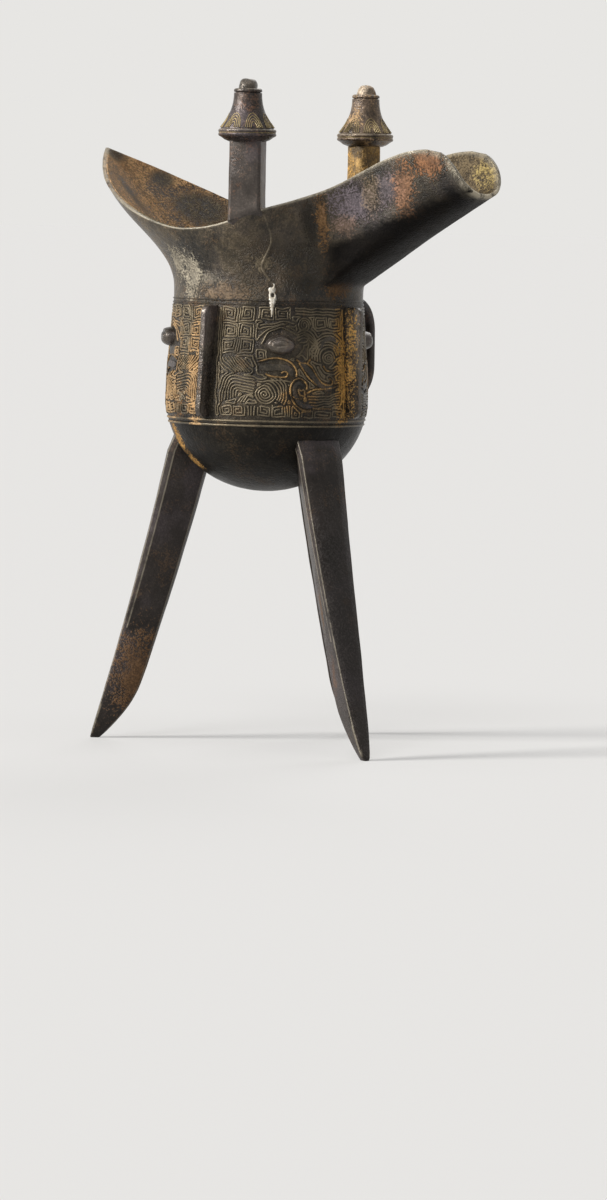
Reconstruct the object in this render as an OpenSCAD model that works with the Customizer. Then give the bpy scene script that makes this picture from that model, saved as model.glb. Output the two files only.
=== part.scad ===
// Bronze jue: a three-legged wine-warming cup with a spout, a pointed tail, two capped posts and a strap
// handle. Millimetres. Z is up from the floor, +X is the spout, -Y is the face with the visible mask.

/* [Cup] */
// Height of the lowest point of the bowl above the floor
bowl_bottom_z = 79; // [60:1:95]
// Height at which the cup is widest
belly_wide_z = 107; // [100:1:112]
// Outer radius of the plain wall at its widest
belly_r = 31; // [24:0.2:38]
// Outer radius at the narrowest part of the neck
neck_r = 29.2; // [23:0.2:36]
// Height of the lower border of the ornament band
band_low_z = 100.8; // [90:0.5:104]
// Height of the upper border of the ornament band
band_high_z = 137.6; // [130:0.5:139]
// Height at which the neck opens into the mouth
neck_top_z = 142.5; // [140:0.5:146]
// Thickness of the cast wall
wall = 2.2; // [1.6:0.1:3.2]
// Thickness of the wall at the rim
rim_t = 1.4; // [1:0.1:2]

/* [Mouth] */
// Half of the mouth's width at the posts
mouth_half = 36.6; // [32:0.2:42]
// Height of the rim at its lowest
rim_low_z = 159.8; // [154:0.5:168]
// Distance of the rim's lowest point from the cup axis, toward the tail
rim_low_back = 8; // [2:1:14]

/* [Spout] */
// Distance from the cup axis to the spout's lip
spout_reach = 79.3; // [64:0.5:96]
// Half of the spout's width
spout_half = 13.2; // [10:0.2:16]
// Height of the bottom of the lip
lip_z = 170.8; // [164:0.5:178]
// Height of the spout's upper edges
spout_top_z = 184.7; // [180:0.5:192]
// How far the straight part of the lip leans back
lip_lean = 5.5; // [2:0.5:10]
// Radius of the corner between the lip and the upper edge
lip_corner = 8.4; // [4:0.2:11]
// Distance from the cup axis to the shoulder where the spout leaves the mouth
shoulder_x = 25; // [20:0.5:29]

/* [Tail] */
// Distance from the cup axis to the tip of the tail
tail_reach = 63.8; // [50:0.5:80]
// Height of the tip of the tail
tail_tip_z = 184.4; // [174:0.5:194]

/* [Posts and caps] */
// Distance of both posts from the cup axis, toward the spout
post_x = 13.2; // [10:0.2:16]
// Width of the square posts
post_w = 9; // [7:0.2:10.4]
// Width of the bevel on the corners of the posts
post_bevel = 1.6; // [0.4:0.1:2.2]
// Turn of each post toward the spout, along the rim
post_turn = 23; // [0:1:30]
// Height at which the posts end inside their caps
post_top_z = 186.4; // [178:0.5:196]
// Largest radius of the caps
cap_r = 8.8; // [7.6:0.1:10]
// Height of each cap without its knob
cap_h = 16.1; // [13:0.1:20]
// Radius of the knobs on the caps
knob_r = 3; // [2:0.1:3.6]
// Height of the knobs
knob_h = 2.9; // [2:0.1:4]

/* [Legs] */
// Distance from the cup axis to the outer edge of each foot
leg_spread = 55.2; // [46:0.2:66]
// Half of the width of a leg at its root
leg_root_half = 7.9; // [6:0.1:9]
// Depth of a leg at its root, measured inward
leg_root_depth = 13.2; // [10:0.2:15]
// Half of the width of the foot's end
foot_half = 1; // [0.8:0.1:2]
// Depth of the foot's end
foot_depth = 2.8; // [2:0.1:4]
// How far the back of a leg is bowed inward
leg_bow = 1.2; // [0:0.05:3]
// Angle of the two front legs from the spout and from the tail
leg_angle = 19; // [10:1:30]

/* [Ornament] */
// How far the flanges stand out from the wall
flange_out = 3.8; // [2:0.1:5]
// Thickness of the flanges
flange_t = 2.8; // [1.6:0.1:4]
// Height of the raised figures above the wall
relief_h = 0.6; // [0.4:0.1:1]
// Angle between the middle of a mask and its eyes
eye_angle = 42; // [36:1:46]
// Height of the eyes
eye_z = 126; // [118:0.5:128]
// Half of the length of an eye
eye_half = 4.8; // [3:0.1:5.4]

/* [Handle] */
// Distance from the cup axis to the outside of the strap
handle_reach = 48.6; // [44:0.2:54]
// Width of the strap
handle_w = 16; // [10:0.5:18]
// Thickness of the strap
handle_t = 3.4; // [2.4:0.1:4.4]
// Height of the underside of the strap's lower arm
handle_low_z = 106.5; // [103:0.5:112]
// Height of the top of the strap
handle_high_z = 139.4; // [134:0.5:141]

/* [Repair] */
// Width of the modern filling in the neck
fill_w = 2.2; // [1.4:0.1:3]
// Depth of the filling in the wall
fill_depth = 1.1; // [0.6:0.1:1.3]

/* [Hidden] */
$fn = 96;

bronze_dark = "#3c342c";
bronze_grey = "#5a5250";
bronze_olive = "#6e6038";
bronze_worn = "#8a7a60";
fill_white = "#d8d2c6";

// The mask is at -90 degrees, the handle opposite, the spout at 0 and the tail at 180
mask_dir = -90;
handle_dir = 90;

// The part stands on the middle of its own footprint
foot_side_y = leg_spread;
post_y = mouth_half - post_w / 2 - 0.1;
cap_side_y = post_y + cap_r;
cup_x = -(spout_reach - tail_reach) / 2;
cup_y = -(foot_side_y - cap_side_y) / 2;

module in_frame() {
    translate([cup_x, cup_y, 0]) children();
}

// Outer radius of the plain wall at height z: half an ellipse for the bowl, a slow taper above it
function wall_r(z) = z < belly_wide_z
    ? belly_r * sqrt(max(0, 1 - pow((belly_wide_z - z) / (belly_wide_z - bowl_bottom_z), 2)))
    : belly_r + (neck_r - belly_r) * (1 - cos(180 * (z - belly_wide_z) / (neck_top_z - belly_wide_z))) / 2;

// The same for the inside of the wall
inner_bottom_z = bowl_bottom_z + wall;
function hollow_r(z) = z < belly_wide_z
    ? (belly_r - wall) * sqrt(max(0, 1 - pow((belly_wide_z - z) / (belly_wide_z - inner_bottom_z), 2)))
    : wall_r(z) - wall;

// Profile points between two heights; the bowl's are closer together near its bottom
profile_steps = 14;
function bowl_profile(radius_of, z0, z1) = [
    for (i = [0:profile_steps])
        let (z = z0 + (z1 - z0) * (1 - cos(90 * i / profile_steps)))
        [radius_of(z), z]
];
function wall_profile(radius_of, z0, z1, extra = 0) = [
    for (i = [0:profile_steps])
        let (z = z0 + (z1 - z0) * i / profile_steps)
        [radius_of(z) + extra, z]
];
outer = function (z) wall_r(z);
inner = function (z) hollow_r(z);
function reversed(list) = [for (i = [len(list) - 1:-1:0]) list[i]];

module bowl_shape() {
    rotate_extrude()
        polygon(concat(
            bowl_profile(outer, bowl_bottom_z, band_low_z),
            reversed(bowl_profile(inner, inner_bottom_z, band_low_z))));
}

// The full outer shape of the cup, used to seat what stands on its wall
module cup_mass() {
    rotate_extrude()
        polygon(concat(
            bowl_profile(outer, bowl_bottom_z, band_low_z),
            wall_profile(outer, band_low_z, band_high_z),
            wall_profile(outer, band_high_z, neck_top_z),
            [[0, neck_top_z]]));
}

module wall_ring(z0, z1) {
    rotate_extrude()
        polygon(concat(
            wall_profile(outer, z0, z1),
            reversed(wall_profile(inner, z0, z1))));
}

// A thin skin of the wall between two heights, from r_in to r_out beyond its surface
module wall_skin(z0, z1, r_in, r_out) {
    rotate_extrude()
        polygon(concat(
            wall_profile(outer, z0, z1, r_out),
            reversed(wall_profile(outer, z0, z1, r_in))));
}

// The mouth is a skin of columns. Each rises from the neck's circle to a point on the rim.
// The rim runs from the lip (t = 0) along the spout, past the post and round to the tail's tip.
lip_steps = 7;
edge_steps = 6;
shoulder_steps = 7;
side_steps = 7;
tail_steps = 9;
shoulder_from = shoulder_x + 9;
shoulder_to = shoulder_x - 9;
tail_from = -30;
lip_back_x = spout_reach - lip_lean - lip_corner;
lip_power = 2.4;
fan_r = 35;
shoulder_power = 6.5;
tail_power = 3.1;
tail_rise_power = 1.55;
spout_rise_power = 1.15;

function smooth(t) = t * t * (3 - 2 * t);
function clamp(t) = min(1, max(0, t));
function steps(a, b, n) = [for (i = [0:n - 1]) a + (b - a) * i / n];

function spout_side_half(x) =
    spout_half + (mouth_half - spout_half) / (1 + pow(max(0, x) / shoulder_x, shoulder_power));
function tail_side_half(x) = mouth_half * (1 - pow(-x / tail_reach, tail_power));
function rim_half(x) = x > 0 ? spout_side_half(x) : tail_side_half(x);

function rim_z(x) = x > -rim_low_back
    ? rim_low_z + (spout_top_z - rim_low_z)
        * smooth(pow(clamp((x + rim_low_back) / (lip_back_x + rim_low_back)), spout_rise_power))
    : rim_low_z + (tail_tip_z - rim_low_z)
        * pow(clamp((-x - rim_low_back) / (tail_reach - rim_low_back)), tail_rise_power);

// A lip point at angle a from the keel: the lip leans back and its top corner is round
function lip_point(a) =
    let (rise = 1 - pow(cos(a), 2 / lip_power))
    [
        spout_reach - lip_lean * rise - lip_corner * (1 - pow(1 - pow(rise, 3), 1 / 3)),
        spout_half * pow(sin(a), 2 / lip_power),
        lip_z + (spout_top_z - lip_z) * rise
    ];

edge_xs = concat(
    steps(lip_back_x, shoulder_from, edge_steps),
    steps(shoulder_from, shoulder_to, shoulder_steps),
    steps(shoulder_to, tail_from, side_steps),
    [for (i = [0:tail_steps]) tail_from - (tail_reach + tail_from) * sin(90 * i / tail_steps)]);

half_rim = concat(
    [for (i = [0:lip_steps - 1]) lip_point(90 * i / lip_steps)],
    [for (x = edge_xs) [x, rim_half(x), rim_z(x)]]);
half_count = len(half_rim);

// Columns on the mask side mirror those on the handle side
rim = concat(
    half_rim,
    [for (i = [half_count - 2:-1:1]) [half_rim[i].x, -half_rim[i].y, half_rim[i].z]]);
column_count = len(rim);

// Columns fan out toward the spout, so their feet stay on the neck's circle
function column_foot(p) =
    let (x = p.x > 0 ? p.x / pow(1 + pow(p.x / fan_r, 3), 1 / 3) : p.x)
    let (a = atan2(p.y, x))
    [neck_r * cos(a), neck_r * sin(a), neck_top_z];

function blend(a, b, t) = a + (b - a) * t;

// Shape of a column: upright for a while on the mouth, at once along the keel under the spout
upright_rise = 9.5;
keel_start = [3.6, 0.7];
mouth_bend = [0.72, 0.34];
keel_bend = [0.55, 0.43];
keel_from = shoulder_from + 11;
function spoutness(x) = smooth(clamp((x - shoulder_to) / (keel_from - shoulder_to)));
function column_point(p, t) =
    let (foot = column_foot(p))
    let (k = spoutness(p.x))
    let (bend = blend(mouth_bend, keel_bend, k))
    let (out = keel_start.x * k / neck_r)
    let (start = [foot.x * (1 + out), foot.y * (1 + out), foot.z + blend(upright_rise, keel_start.y, k)])
    let (lean = [blend(foot.x, p.x, bend.x), blend(foot.y, p.y, bend.x), p.z - bend.y * (p.z - foot.z)])
    let (s = 1 - t)
    s * s * s * foot + 3 * s * s * t * start + 3 * s * t * t * lean + t * t * t * p;

row_count = 9;
row_power = 1.15;
function row_t(j) = pow(j / (row_count - 1), row_power);
outer_skin = [for (p = rim) [for (j = [0:row_count - 1]) column_point(p, row_t(j))]];

function unit(v) = v / max(norm(v), 1e-9);
function skin_normal(i, j) =
    let (before = outer_skin[(i + column_count - 1) % column_count])
    let (after = outer_skin[(i + 1) % column_count])
    let (own = outer_skin[i])
    unit(cross(after[j] - before[j], own[min(j + 1, row_count - 1)] - own[max(j - 1, 0)]));

// The inside lies one wall thickness in, less toward the rim; its foot matches the inside of the neck.
// The rim's edge is level across its thickness, and square to the keel at the lip.
inner_foot_scale = (neck_r - wall) / neck_r;
function edge_normal(i) =
    let (n = skin_normal(i, row_count - 1))
    let (k = clamp((rim[i].x - lip_back_x) / (spout_reach - lip_back_x)))
    unit([n.x, n.y, n.z * smooth(k)]);
inner_skin = [
    for (i = [0:column_count - 1]) [
        for (j = [0:row_count - 1])
            let (p = outer_skin[i][j])
            j == 0
                ? [p.x * inner_foot_scale, p.y * inner_foot_scale, p.z]
                : j == row_count - 1
                    ? p - rim_t * edge_normal(i)
                    : p - blend(wall, rim_t, row_t(j)) * skin_normal(i, j)
    ]
];

// A closed body between two nets of points: the outer one and the inner one, column by column
module shell_between(outer_net, inner_net) {
    n = len(outer_net);
    top = row_count - 1;
    points = concat([for (column = outer_net) each column], [for (column = inner_net) each column]);
    function at(side, i, j) = (side * n + i) * row_count + j;
    quads = concat(
        [for (i = [0:n - 2], j = [0:top - 1])
            [at(0, i, j), at(0, i, j + 1), at(0, i + 1, j + 1), at(0, i + 1, j)]],
        [for (i = [0:n - 2], j = [0:top - 1])
            [at(1, i, j), at(1, i + 1, j), at(1, i + 1, j + 1), at(1, i, j + 1)]],
        [for (i = [0:n - 2]) [at(0, i, 0), at(0, i + 1, 0), at(1, i + 1, 0), at(1, i, 0)]],
        [for (i = [0:n - 2]) [at(0, i, top), at(1, i, top), at(1, i + 1, top), at(0, i + 1, top)]],
        [for (j = [0:top - 1]) [at(0, 0, j), at(1, 0, j), at(1, 0, j + 1), at(0, 0, j + 1)]],
        [for (j = [0:top - 1])
            [at(0, n - 1, j), at(0, n - 1, j + 1), at(1, n - 1, j + 1), at(1, n - 1, j)]]);
    polyhedron(points, [for (q = quads) each [[q[0], q[1], q[2]], [q[0], q[2], q[3]]]]);
}

// A closed piece of the mouth's skin, from one column to another, in order round the rim
module skin_piece(first, last) {
    columns = [for (i = [first:last]) (i + column_count) % column_count];
    shell_between([for (c = columns) outer_skin[c]], [for (c = columns) inner_skin[c]]);
}

// Columns at which the spout and the tail begin
spout_column = lip_steps + edge_steps + 1;
tail_column = lip_steps + edge_steps + shoulder_steps + side_steps;

module spout() {
    color(bronze_grey) in_frame() skin_piece(-spout_column, spout_column);
}

module tail() {
    color(bronze_worn) in_frame() skin_piece(tail_column, column_count - tail_column);
}

module mouth_wall_handle_side() {
    color(bronze_dark) in_frame() skin_piece(spout_column, tail_column);
}

module mouth_wall_mask_side() {
    color(bronze_dark) in_frame() skin_piece(column_count - tail_column, column_count - spout_column);
}

module bowl() {
    color(bronze_dark) in_frame() bowl_shape();
}

module belly() {
    color(bronze_dark) in_frame() wall_ring(band_low_z, band_high_z);
}

// The filling is a narrow upright patch in the front of the neck
fill_dir = -52;
fill_low_z = band_high_z + 0.9;
fill_high_z = neck_top_z - 0.6;
module fill_zone() {
    rotate(fill_dir)
        translate([neck_r - fill_depth, -fill_w / 2, fill_low_z])
            cube([2 * fill_depth, fill_w, fill_high_z - fill_low_z]);
}

module neck() {
    color(bronze_dark) in_frame() difference() {
        wall_ring(band_high_z, neck_top_z);
        fill_zone();
    }
}

module repair_fill() {
    color(fill_white) in_frame() intersection() {
        wall_ring(band_high_z, neck_top_z);
        fill_zone();
    }
}

// A post stands on the rim, flush with the wall; its root fills the flare of the wall below the rim
module post_section() {
    b = post_bevel;
    h = post_w / 2;
    polygon([
        [h - b, -h], [h, -h + b], [h, h - b], [h - b, h],
        [-h + b, h], [-h, h - b], [-h, -h + b], [-h + b, -h]]);
}

// side is 1 for the handle side and -1 for the mask side
post_foot_z = neck_top_z + 3;
module post(side) {
    // Columns of the wall round the post's foot, to seat it on
    near = [for (i = [0:half_count - 1])
        if (half_rim[i].y > spout_half * 1.05 && abs(half_rim[i].x - post_x) < 2 * post_w) i];
    in_frame() difference() {
        translate([post_x, side * post_y, post_foot_z]) rotate(-side * post_turn)
            linear_extrude(post_top_z - post_foot_z) post_section();
        outside_of_wall(side, min(near) - 1, max(near) + 1);
    }
}

// Everything from the inner face of the wall outward, below the rim, near a post
wall_clear = 40;
function pushed_out(p) =
    let (k = 1 + wall_clear / norm([p.x, p.y]))
    [k * p.x, k * p.y, p.z];
module outside_of_wall(side, first, last) {
    columns = side > 0
        ? [for (i = [first:last]) i]
        : [for (i = [column_count - last:column_count - first]) i];
    shell_between(
        [for (c = columns) [for (p = outer_skin[c]) pushed_out(p)]],
        [for (c = columns) inner_skin[c]]);
}

module post_mask_side() {
    color(bronze_grey) post(-1);
}

module post_handle_side() {
    color(bronze_olive) post(1);
}

// A cap is a bell: a turned-in underside, a rim of two ridges, a hollow flare and a collar
socket_depth = 0.3;
cap_z = post_top_z - socket_depth;
cap_foot_r = post_w / 2 + 0.9;
cap_rim_z = 1.9;
cap_rim_h = 2;
groove_z = 1;
groove_half = 0.2;
groove_depth = 0.4;
cap_neck_r = 4.25;
collar_h = 1.4;
flare_steps = 10;
flare_power = 2.2;
module cap(side) {
    flare_z = cap_rim_z + cap_rim_h;
    collar_z = cap_h - collar_h;
    in_frame() translate([post_x, side * post_y, cap_z]) difference() {
        rotate_extrude() polygon(concat(
            [[0, 0], [cap_foot_r, 0], [cap_r - 0.9, cap_rim_z - 0.3], [cap_r, cap_rim_z],
                [cap_r, cap_rim_z + groove_z - groove_half],
                [cap_r - groove_depth, cap_rim_z + groove_z],
                [cap_r, cap_rim_z + groove_z + groove_half]],
            [for (i = [0:flare_steps]) let (t = i / flare_steps)
                [cap_neck_r + (cap_r - cap_neck_r) * pow(1 - t, flare_power), blend(flare_z, collar_z, t)]],
            [[cap_neck_r - 0.5, collar_z + 0.1], [cap_neck_r, collar_z + 0.4],
                [cap_neck_r - 0.3, cap_h], [0, cap_h]]));
        translate([0, 0, -1]) rotate(-side * post_turn)
            linear_extrude(socket_depth + 1) post_section();
    }
}

module cap_mask_side() {
    color(bronze_grey) cap(-1);
}

module cap_handle_side() {
    color(bronze_olive) cap(1);
}

knob_steps = 8;
knob_power = 0.8;
module knob(side) {
    in_frame() translate([post_x, side * post_y, cap_z + cap_h])
        rotate_extrude() polygon(concat(
            [[0, 0]],
            [for (i = [0:knob_steps]) let (a = 90 * i / knob_steps)
                [knob_r * pow(cos(a), knob_power), knob_h * sin(a)]]));
}

module cap_knob_mask_side() {
    color(bronze_worn) knob(-1);
}

module cap_knob_handle_side() {
    color(bronze_worn) knob(1);
}

// A leg is a curved blade: a broad outer face and a narrow inner edge, tapering to a small foot
leg_root_z = band_low_z - 4.8;
leg_root_r = wall_r(leg_root_z) + 0.9;
leg_steps = 12;
step_power = 1.4;
width_power = 0.55;
tip_h = 12;
ankle_share = 0.62;
edge_share = 0.22;
face_share = 0.55;
bevel_share = 0.16;
side_share = 0.45;
function leg_t(i) = pow(i / leg_steps, step_power);
function leg_ring(i) =
    let (t = leg_t(i))
    let (z = leg_root_z * t)
    let (r = blend(leg_spread, leg_root_r, t) - 4 * leg_bow * t * (1 - t))
    let (half = blend(foot_half, leg_root_half, pow(t, width_power)))
    let (taper = 1 - pow(1 - clamp(z / tip_h), 2))
    let (depth = blend(foot_depth, blend(ankle_share * leg_root_depth, leg_root_depth, t), taper))
    let (edge = max(0.6 * foot_half, half * edge_share))
    [
        [r - bevel_share * half, half, z], [r - side_share * half, half, z], [r - depth, edge, z],
        [r - depth, -edge, z], [r - side_share * half, -half, z], [r - bevel_share * half, -half, z],
        [r, -face_share * half, z], [r, face_share * half, z]
    ];

module leg(angle) {
    sides = 8;
    points = [for (i = [0:leg_steps]) each leg_ring(i)];
    faces = concat(
        [[for (k = [0:sides - 1]) k]],
        [for (i = [0:leg_steps - 1], k = [0:sides - 1])
            let (a = i * sides + k)
            let (b = i * sides + (k + 1) % sides)
            each [[a, a + sides, b + sides], [a, b + sides, b]]],
        [[for (k = [sides - 1:-1:0]) leg_steps * sides + k]]);
    color(bronze_dark) in_frame() difference() {
        rotate(angle) polyhedron(points, faces);
        cup_mass();
    }
}

module leg_spout_side() {
    leg(-leg_angle);
}

module leg_tail_side() {
    leg(-180 + leg_angle);
}

module leg_handle_side() {
    leg(handle_dir);
}

// Borders: two raised threads above the band and two below it
thread_r = 0.45;
thread_sides = 12;
thread_gap = 1.5;
module thread(z) {
    rotate_extrude() polygon([
        for (i = [0:thread_sides - 1]) let (a = 360 * (i + 0.5) / thread_sides)
            [wall_r(z) - 0.05 + thread_r * cos(a), z + thread_r * sin(a)]]);
}

module border(z) {
    in_frame() difference() {
        union() {
            thread(z);
            thread(z + thread_gap);
        }
        cup_mass();
        handle_zone();
    }
}

module border_upper() {
    color(bronze_worn) border(band_high_z - 0.8);
}

module border_lower() {
    color(bronze_worn) border(band_low_z - 0.7);
}

// A flange is an upright rib with rounded ends on the wall between the borders
flange_low_z = band_low_z + 1.7;
flange_high_z = band_high_z - 1.1;
module flange(angle) {
    color(bronze_worn) in_frame() difference() {
        rotate([0, 0, angle]) translate([0, flange_t / 2, 0]) rotate([90, 0, 0]) linear_extrude(flange_t)
            flange_outline();
        cup_mass();
    }
}

flange_round = 3;
module flange_outline() {
    back = neck_r - 4;
    out = belly_r + flange_out;
    high = flange_high_z - flange_low_z;
    translate([back, flange_low_z]) square([out - back - flange_round, high]);
    translate([back, flange_low_z + flange_round]) square([out - back, high - 2 * flange_round]);
    for (z = [flange_low_z + flange_round, flange_high_z - flange_round])
        translate([out - flange_round, z]) circle(r = flange_round, $fn = 48);
}

module flange_spout() {
    flange(0);
}

module flange_mask() {
    flange(mask_dir);
}

module flange_tail() {
    flange(180);
}

// An eye is an oval boss, twice as long as high, with a rounded face
eye_out = 3.2;
eye_dome = 6;
module eye(angle) {
    color(bronze_worn) in_frame() difference() {
        intersection() {
            rotate(angle) translate([0, 0, eye_z]) rotate([0, 90, 0]) linear_extrude(2 * belly_r)
                eye_outline();
            rotate(angle) translate([wall_r(eye_z) + eye_out - eye_dome, 0, eye_z]) sphere(r = eye_dome);
        }
        cup_mass();
    }
}

// Two crossing circles make the pointed oval
eye_h = 0.62;
module eye_outline() {
    high = eye_half * eye_h;
    r = (eye_half * eye_half + high * high) / (2 * high);
    intersection() {
        translate([r - high, 0]) circle(r = r);
        translate([high - r, 0]) circle(r = r);
    }
}

module eye_mask_spout_side() {
    eye(mask_dir + eye_angle);
}

module eye_mask_tail_side() {
    eye(mask_dir - eye_angle);
}

module eye_handle_spout_side() {
    eye(handle_dir - eye_angle);
}

module eye_handle_tail_side() {
    eye(handle_dir + eye_angle);
}

// Raised bands of one half of a mask, drawn flat: u runs round the wall from the mask's middle, v is up
module ring_band(c, r, w, a0, a1) {
    translate(c) difference() {
        circle(r = r);
        circle(r = r - w);
        polygon(concat([[0, 0]], [for (i = [0:6]) let (a = a1 + (360 + a0 - a1) * i / 6)
            3 * r * [cos(a), sin(a)]]));
    }
}

module bar(a, b, w) {
    d = b - a;
    translate(a) rotate(atan2(d.y, d.x)) translate([0, -w / 2]) square([norm(d), w]);
}

band_w = 2.3;
module half_mask() {
    eye_u = belly_r * eye_angle * PI / 180;
    // Brow and horn above the eye, and the curl in which the horn ends
    ring_band([eye_u - 4, eye_z + 3], 7.2, band_w, 35, 185);
    bar([eye_u - 11, eye_z + 3.2], [eye_u - 11, eye_z - 5], band_w);
    // Cheek and jaw, hooked toward the middle
    ring_band([eye_u - 5, eye_z - 11], 7, band_w, 180, 420);
    // Body behind the eye, with its tail curled up
    bar([eye_u + 7.5, eye_z - 1], [eye_u + 15, eye_z - 1], band_w);
    ring_band([eye_u + 15, eye_z + 4.4], 6.5, band_w, -90, 110);
    // Claw at the lower corner
    ring_band([eye_u + 12, eye_z - 14], 6.2, band_w, 20, 250);
}

// The flat drawing is pressed onto the wall in narrow steps; each step is cut by the wall's skin.
// It is drawn on the tail side of a mask, and mirrored for the spout side.
press_steps = 6;
press_span = 84;
relief_low_z = flange_low_z - 0.4;
relief_high_z = flange_high_z - 0.7;
module pressed_half_mask() {
    step = press_span / press_steps;
    step_u = belly_r * step * PI / 180;
    intersection() {
        wall_skin(relief_low_z, relief_high_z, 0, relief_h);
        for (i = [0:press_steps - 1]) let (mid = (90 - press_span) / 2 + step * (i + 0.5))
            rotate(mask_dir - mid) rotate([90, 0, 90]) linear_extrude(2 * belly_r)
                intersection() {
                    mirror([1, 0]) translate([-belly_r * mid * PI / 180, 0]) half_mask();
                    translate([-step_u / 2, relief_low_z]) square([step_u, relief_high_z - relief_low_z]);
                }
    }
}

// x and y are 1 where the drawn half mask is mirrored that way
module relief(x, y) {
    color(bronze_worn) in_frame() difference() {
        mirror([x, 0, 0]) mirror([0, y, 0]) pressed_half_mask();
        handle_zone();
    }
}

module relief_mask_spout_side() {
    relief(1, 0);
}

module relief_mask_tail_side() {
    relief(0, 0);
}

module relief_handle_spout_side() {
    relief(1, 1);
}

module relief_handle_tail_side() {
    relief(0, 1);
}

// The strap is a bent band in the plane of the handle, open toward the wall
handle_round = 11;
module rounded_plate(x0, x1, z0, z1, r) {
    translate([x0, z0]) square([x1 - x0 - r, z1 - z0]);
    translate([x0, z0 + r]) square([x1 - x0, z1 - z0 - 2 * r]);
    for (z = [z0 + r, z1 - r]) translate([x1 - r, z]) circle(r = r);
}

module strap_shape() {
    rotate(handle_dir) translate([0, handle_w / 2, 0]) rotate([90, 0, 0]) linear_extrude(handle_w)
        difference() {
            rounded_plate(neck_r / 2, handle_reach, handle_low_z, handle_high_z, handle_round);
            rounded_plate(neck_r / 2 - 1, handle_reach - handle_t,
                handle_low_z + handle_t, handle_high_z - handle_t, handle_round - handle_t);
        }
}

module handle_strap() {
    color(bronze_dark) in_frame() difference() {
        strap_shape();
        cup_mass();
    }
}

// The borders and the figures stop beside the strap's arms
module handle_zone() {
    margin = 0.3;
    rotate(handle_dir) translate([0, -handle_w / 2 - margin, 0]) {
        translate([0, 0, handle_low_z - margin])
            cube([2 * belly_r, handle_w + 2 * margin, handle_t + 2 * margin]);
        translate([0, 0, handle_high_z - handle_t - margin])
            cube([2 * belly_r, handle_w + 2 * margin, handle_t + 2 * margin]);
    }
}

// A small ox head sits on the shoulder of the strap, with its muzzle toward the strap's bend
head_w = 11;
head_h = 4.4;
brow_w = head_w - 3;
muzzle_w = head_w / 2;
muzzle_h = 1.6;
slab_h = 0.4;
neck_gap = 2.2;
module head_slab(x0, long, wide, z0, high) {
    translate([x0, -wide / 2, z0]) cube([long, wide, high]);
}

module handle_head() {
    color(bronze_worn) in_frame() rotate(handle_dir) translate([0, 0, handle_high_z]) hull() {
        head_slab(neck_r + neck_gap, 5, head_w, 0, slab_h);
        head_slab(neck_r + neck_gap + 0.6, 3, brow_w, head_h - slab_h, slab_h);
        head_slab(handle_reach - handle_round - 1.2, 1, muzzle_w, 0, muzzle_h);
    }
}

bowl();
belly();
neck();
mouth_wall_mask_side();
mouth_wall_handle_side();
spout();
tail();
post_mask_side();
post_handle_side();
cap_mask_side();
cap_handle_side();
cap_knob_mask_side();
cap_knob_handle_side();
leg_spout_side();
leg_tail_side();
leg_handle_side();
border_upper();
border_lower();
flange_spout();
flange_mask();
flange_tail();
eye_mask_spout_side();
eye_mask_tail_side();
eye_handle_spout_side();
eye_handle_tail_side();
relief_mask_spout_side();
relief_mask_tail_side();
relief_handle_spout_side();
relief_handle_tail_side();
handle_strap();
handle_head();
repair_fill();
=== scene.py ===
from math import atan2, cos, exp, hypot, pi, radians, sin, sqrt

import bmesh
import bpy
from mathutils import Matrix, Vector, noise
from mathutils.bvhtree import BVHTree
from mathutils.kdtree import KDTree


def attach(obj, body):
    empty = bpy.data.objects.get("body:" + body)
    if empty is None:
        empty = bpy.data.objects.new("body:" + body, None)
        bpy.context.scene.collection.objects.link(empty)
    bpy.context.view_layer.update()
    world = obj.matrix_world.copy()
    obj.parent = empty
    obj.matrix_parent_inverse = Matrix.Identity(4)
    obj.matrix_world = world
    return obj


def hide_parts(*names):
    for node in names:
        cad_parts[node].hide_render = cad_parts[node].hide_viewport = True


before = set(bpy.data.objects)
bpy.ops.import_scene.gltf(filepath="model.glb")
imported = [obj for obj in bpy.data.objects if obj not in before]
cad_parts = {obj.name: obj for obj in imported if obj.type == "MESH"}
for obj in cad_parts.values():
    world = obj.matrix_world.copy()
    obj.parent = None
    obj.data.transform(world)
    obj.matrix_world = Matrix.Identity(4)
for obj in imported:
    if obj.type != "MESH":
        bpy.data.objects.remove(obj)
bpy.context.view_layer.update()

scene = bpy.context.scene

# The bronze is described in millimetres from the cup's own axis. CUP is that axis in the shared frame.
MM = 0.001
CUP = Vector((-7.75, -7.2, 0))


def in_frame(p):
    return ((p[0] + CUP.x) * MM, (p[1] + CUP.y) * MM, p[2] * MM)


def blend(a, b, t):
    return a + (b - a) * t


def clamp(t):
    return min(1.0, max(0.0, t))


def ease(t):
    t = clamp(t)
    return t * t * (3 - 2 * t)


def steps(a, b, n):
    return [a + (b - a) * i / n for i in range(n)]


def polar(r, a, z, centre=(0, 0)):
    return (centre[0] + r * cos(a), centre[1] + r * sin(a), z)


def turned(x, y, a):
    return x * cos(a) - y * sin(a), x * sin(a) + y * cos(a)


def squarish(value, power):
    """A sine or cosine bent toward a square wave."""
    return (abs(value) ** power) * (1 if value > 0 else -1)


def placed(name, data):
    made = bpy.data.objects.new(name, data)
    scene.collection.objects.link(made)
    return made


# The photograph's view: from a little above the neck, looking slightly down
YAW, PITCH, ROLL = radians(34.37), radians(4.02), radians(1.15)
CAMERA_PLACE = (0.9484, -1.3828, 0.1631)
LENS_MM, SENSOR_MM = 162.5, 36


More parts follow.
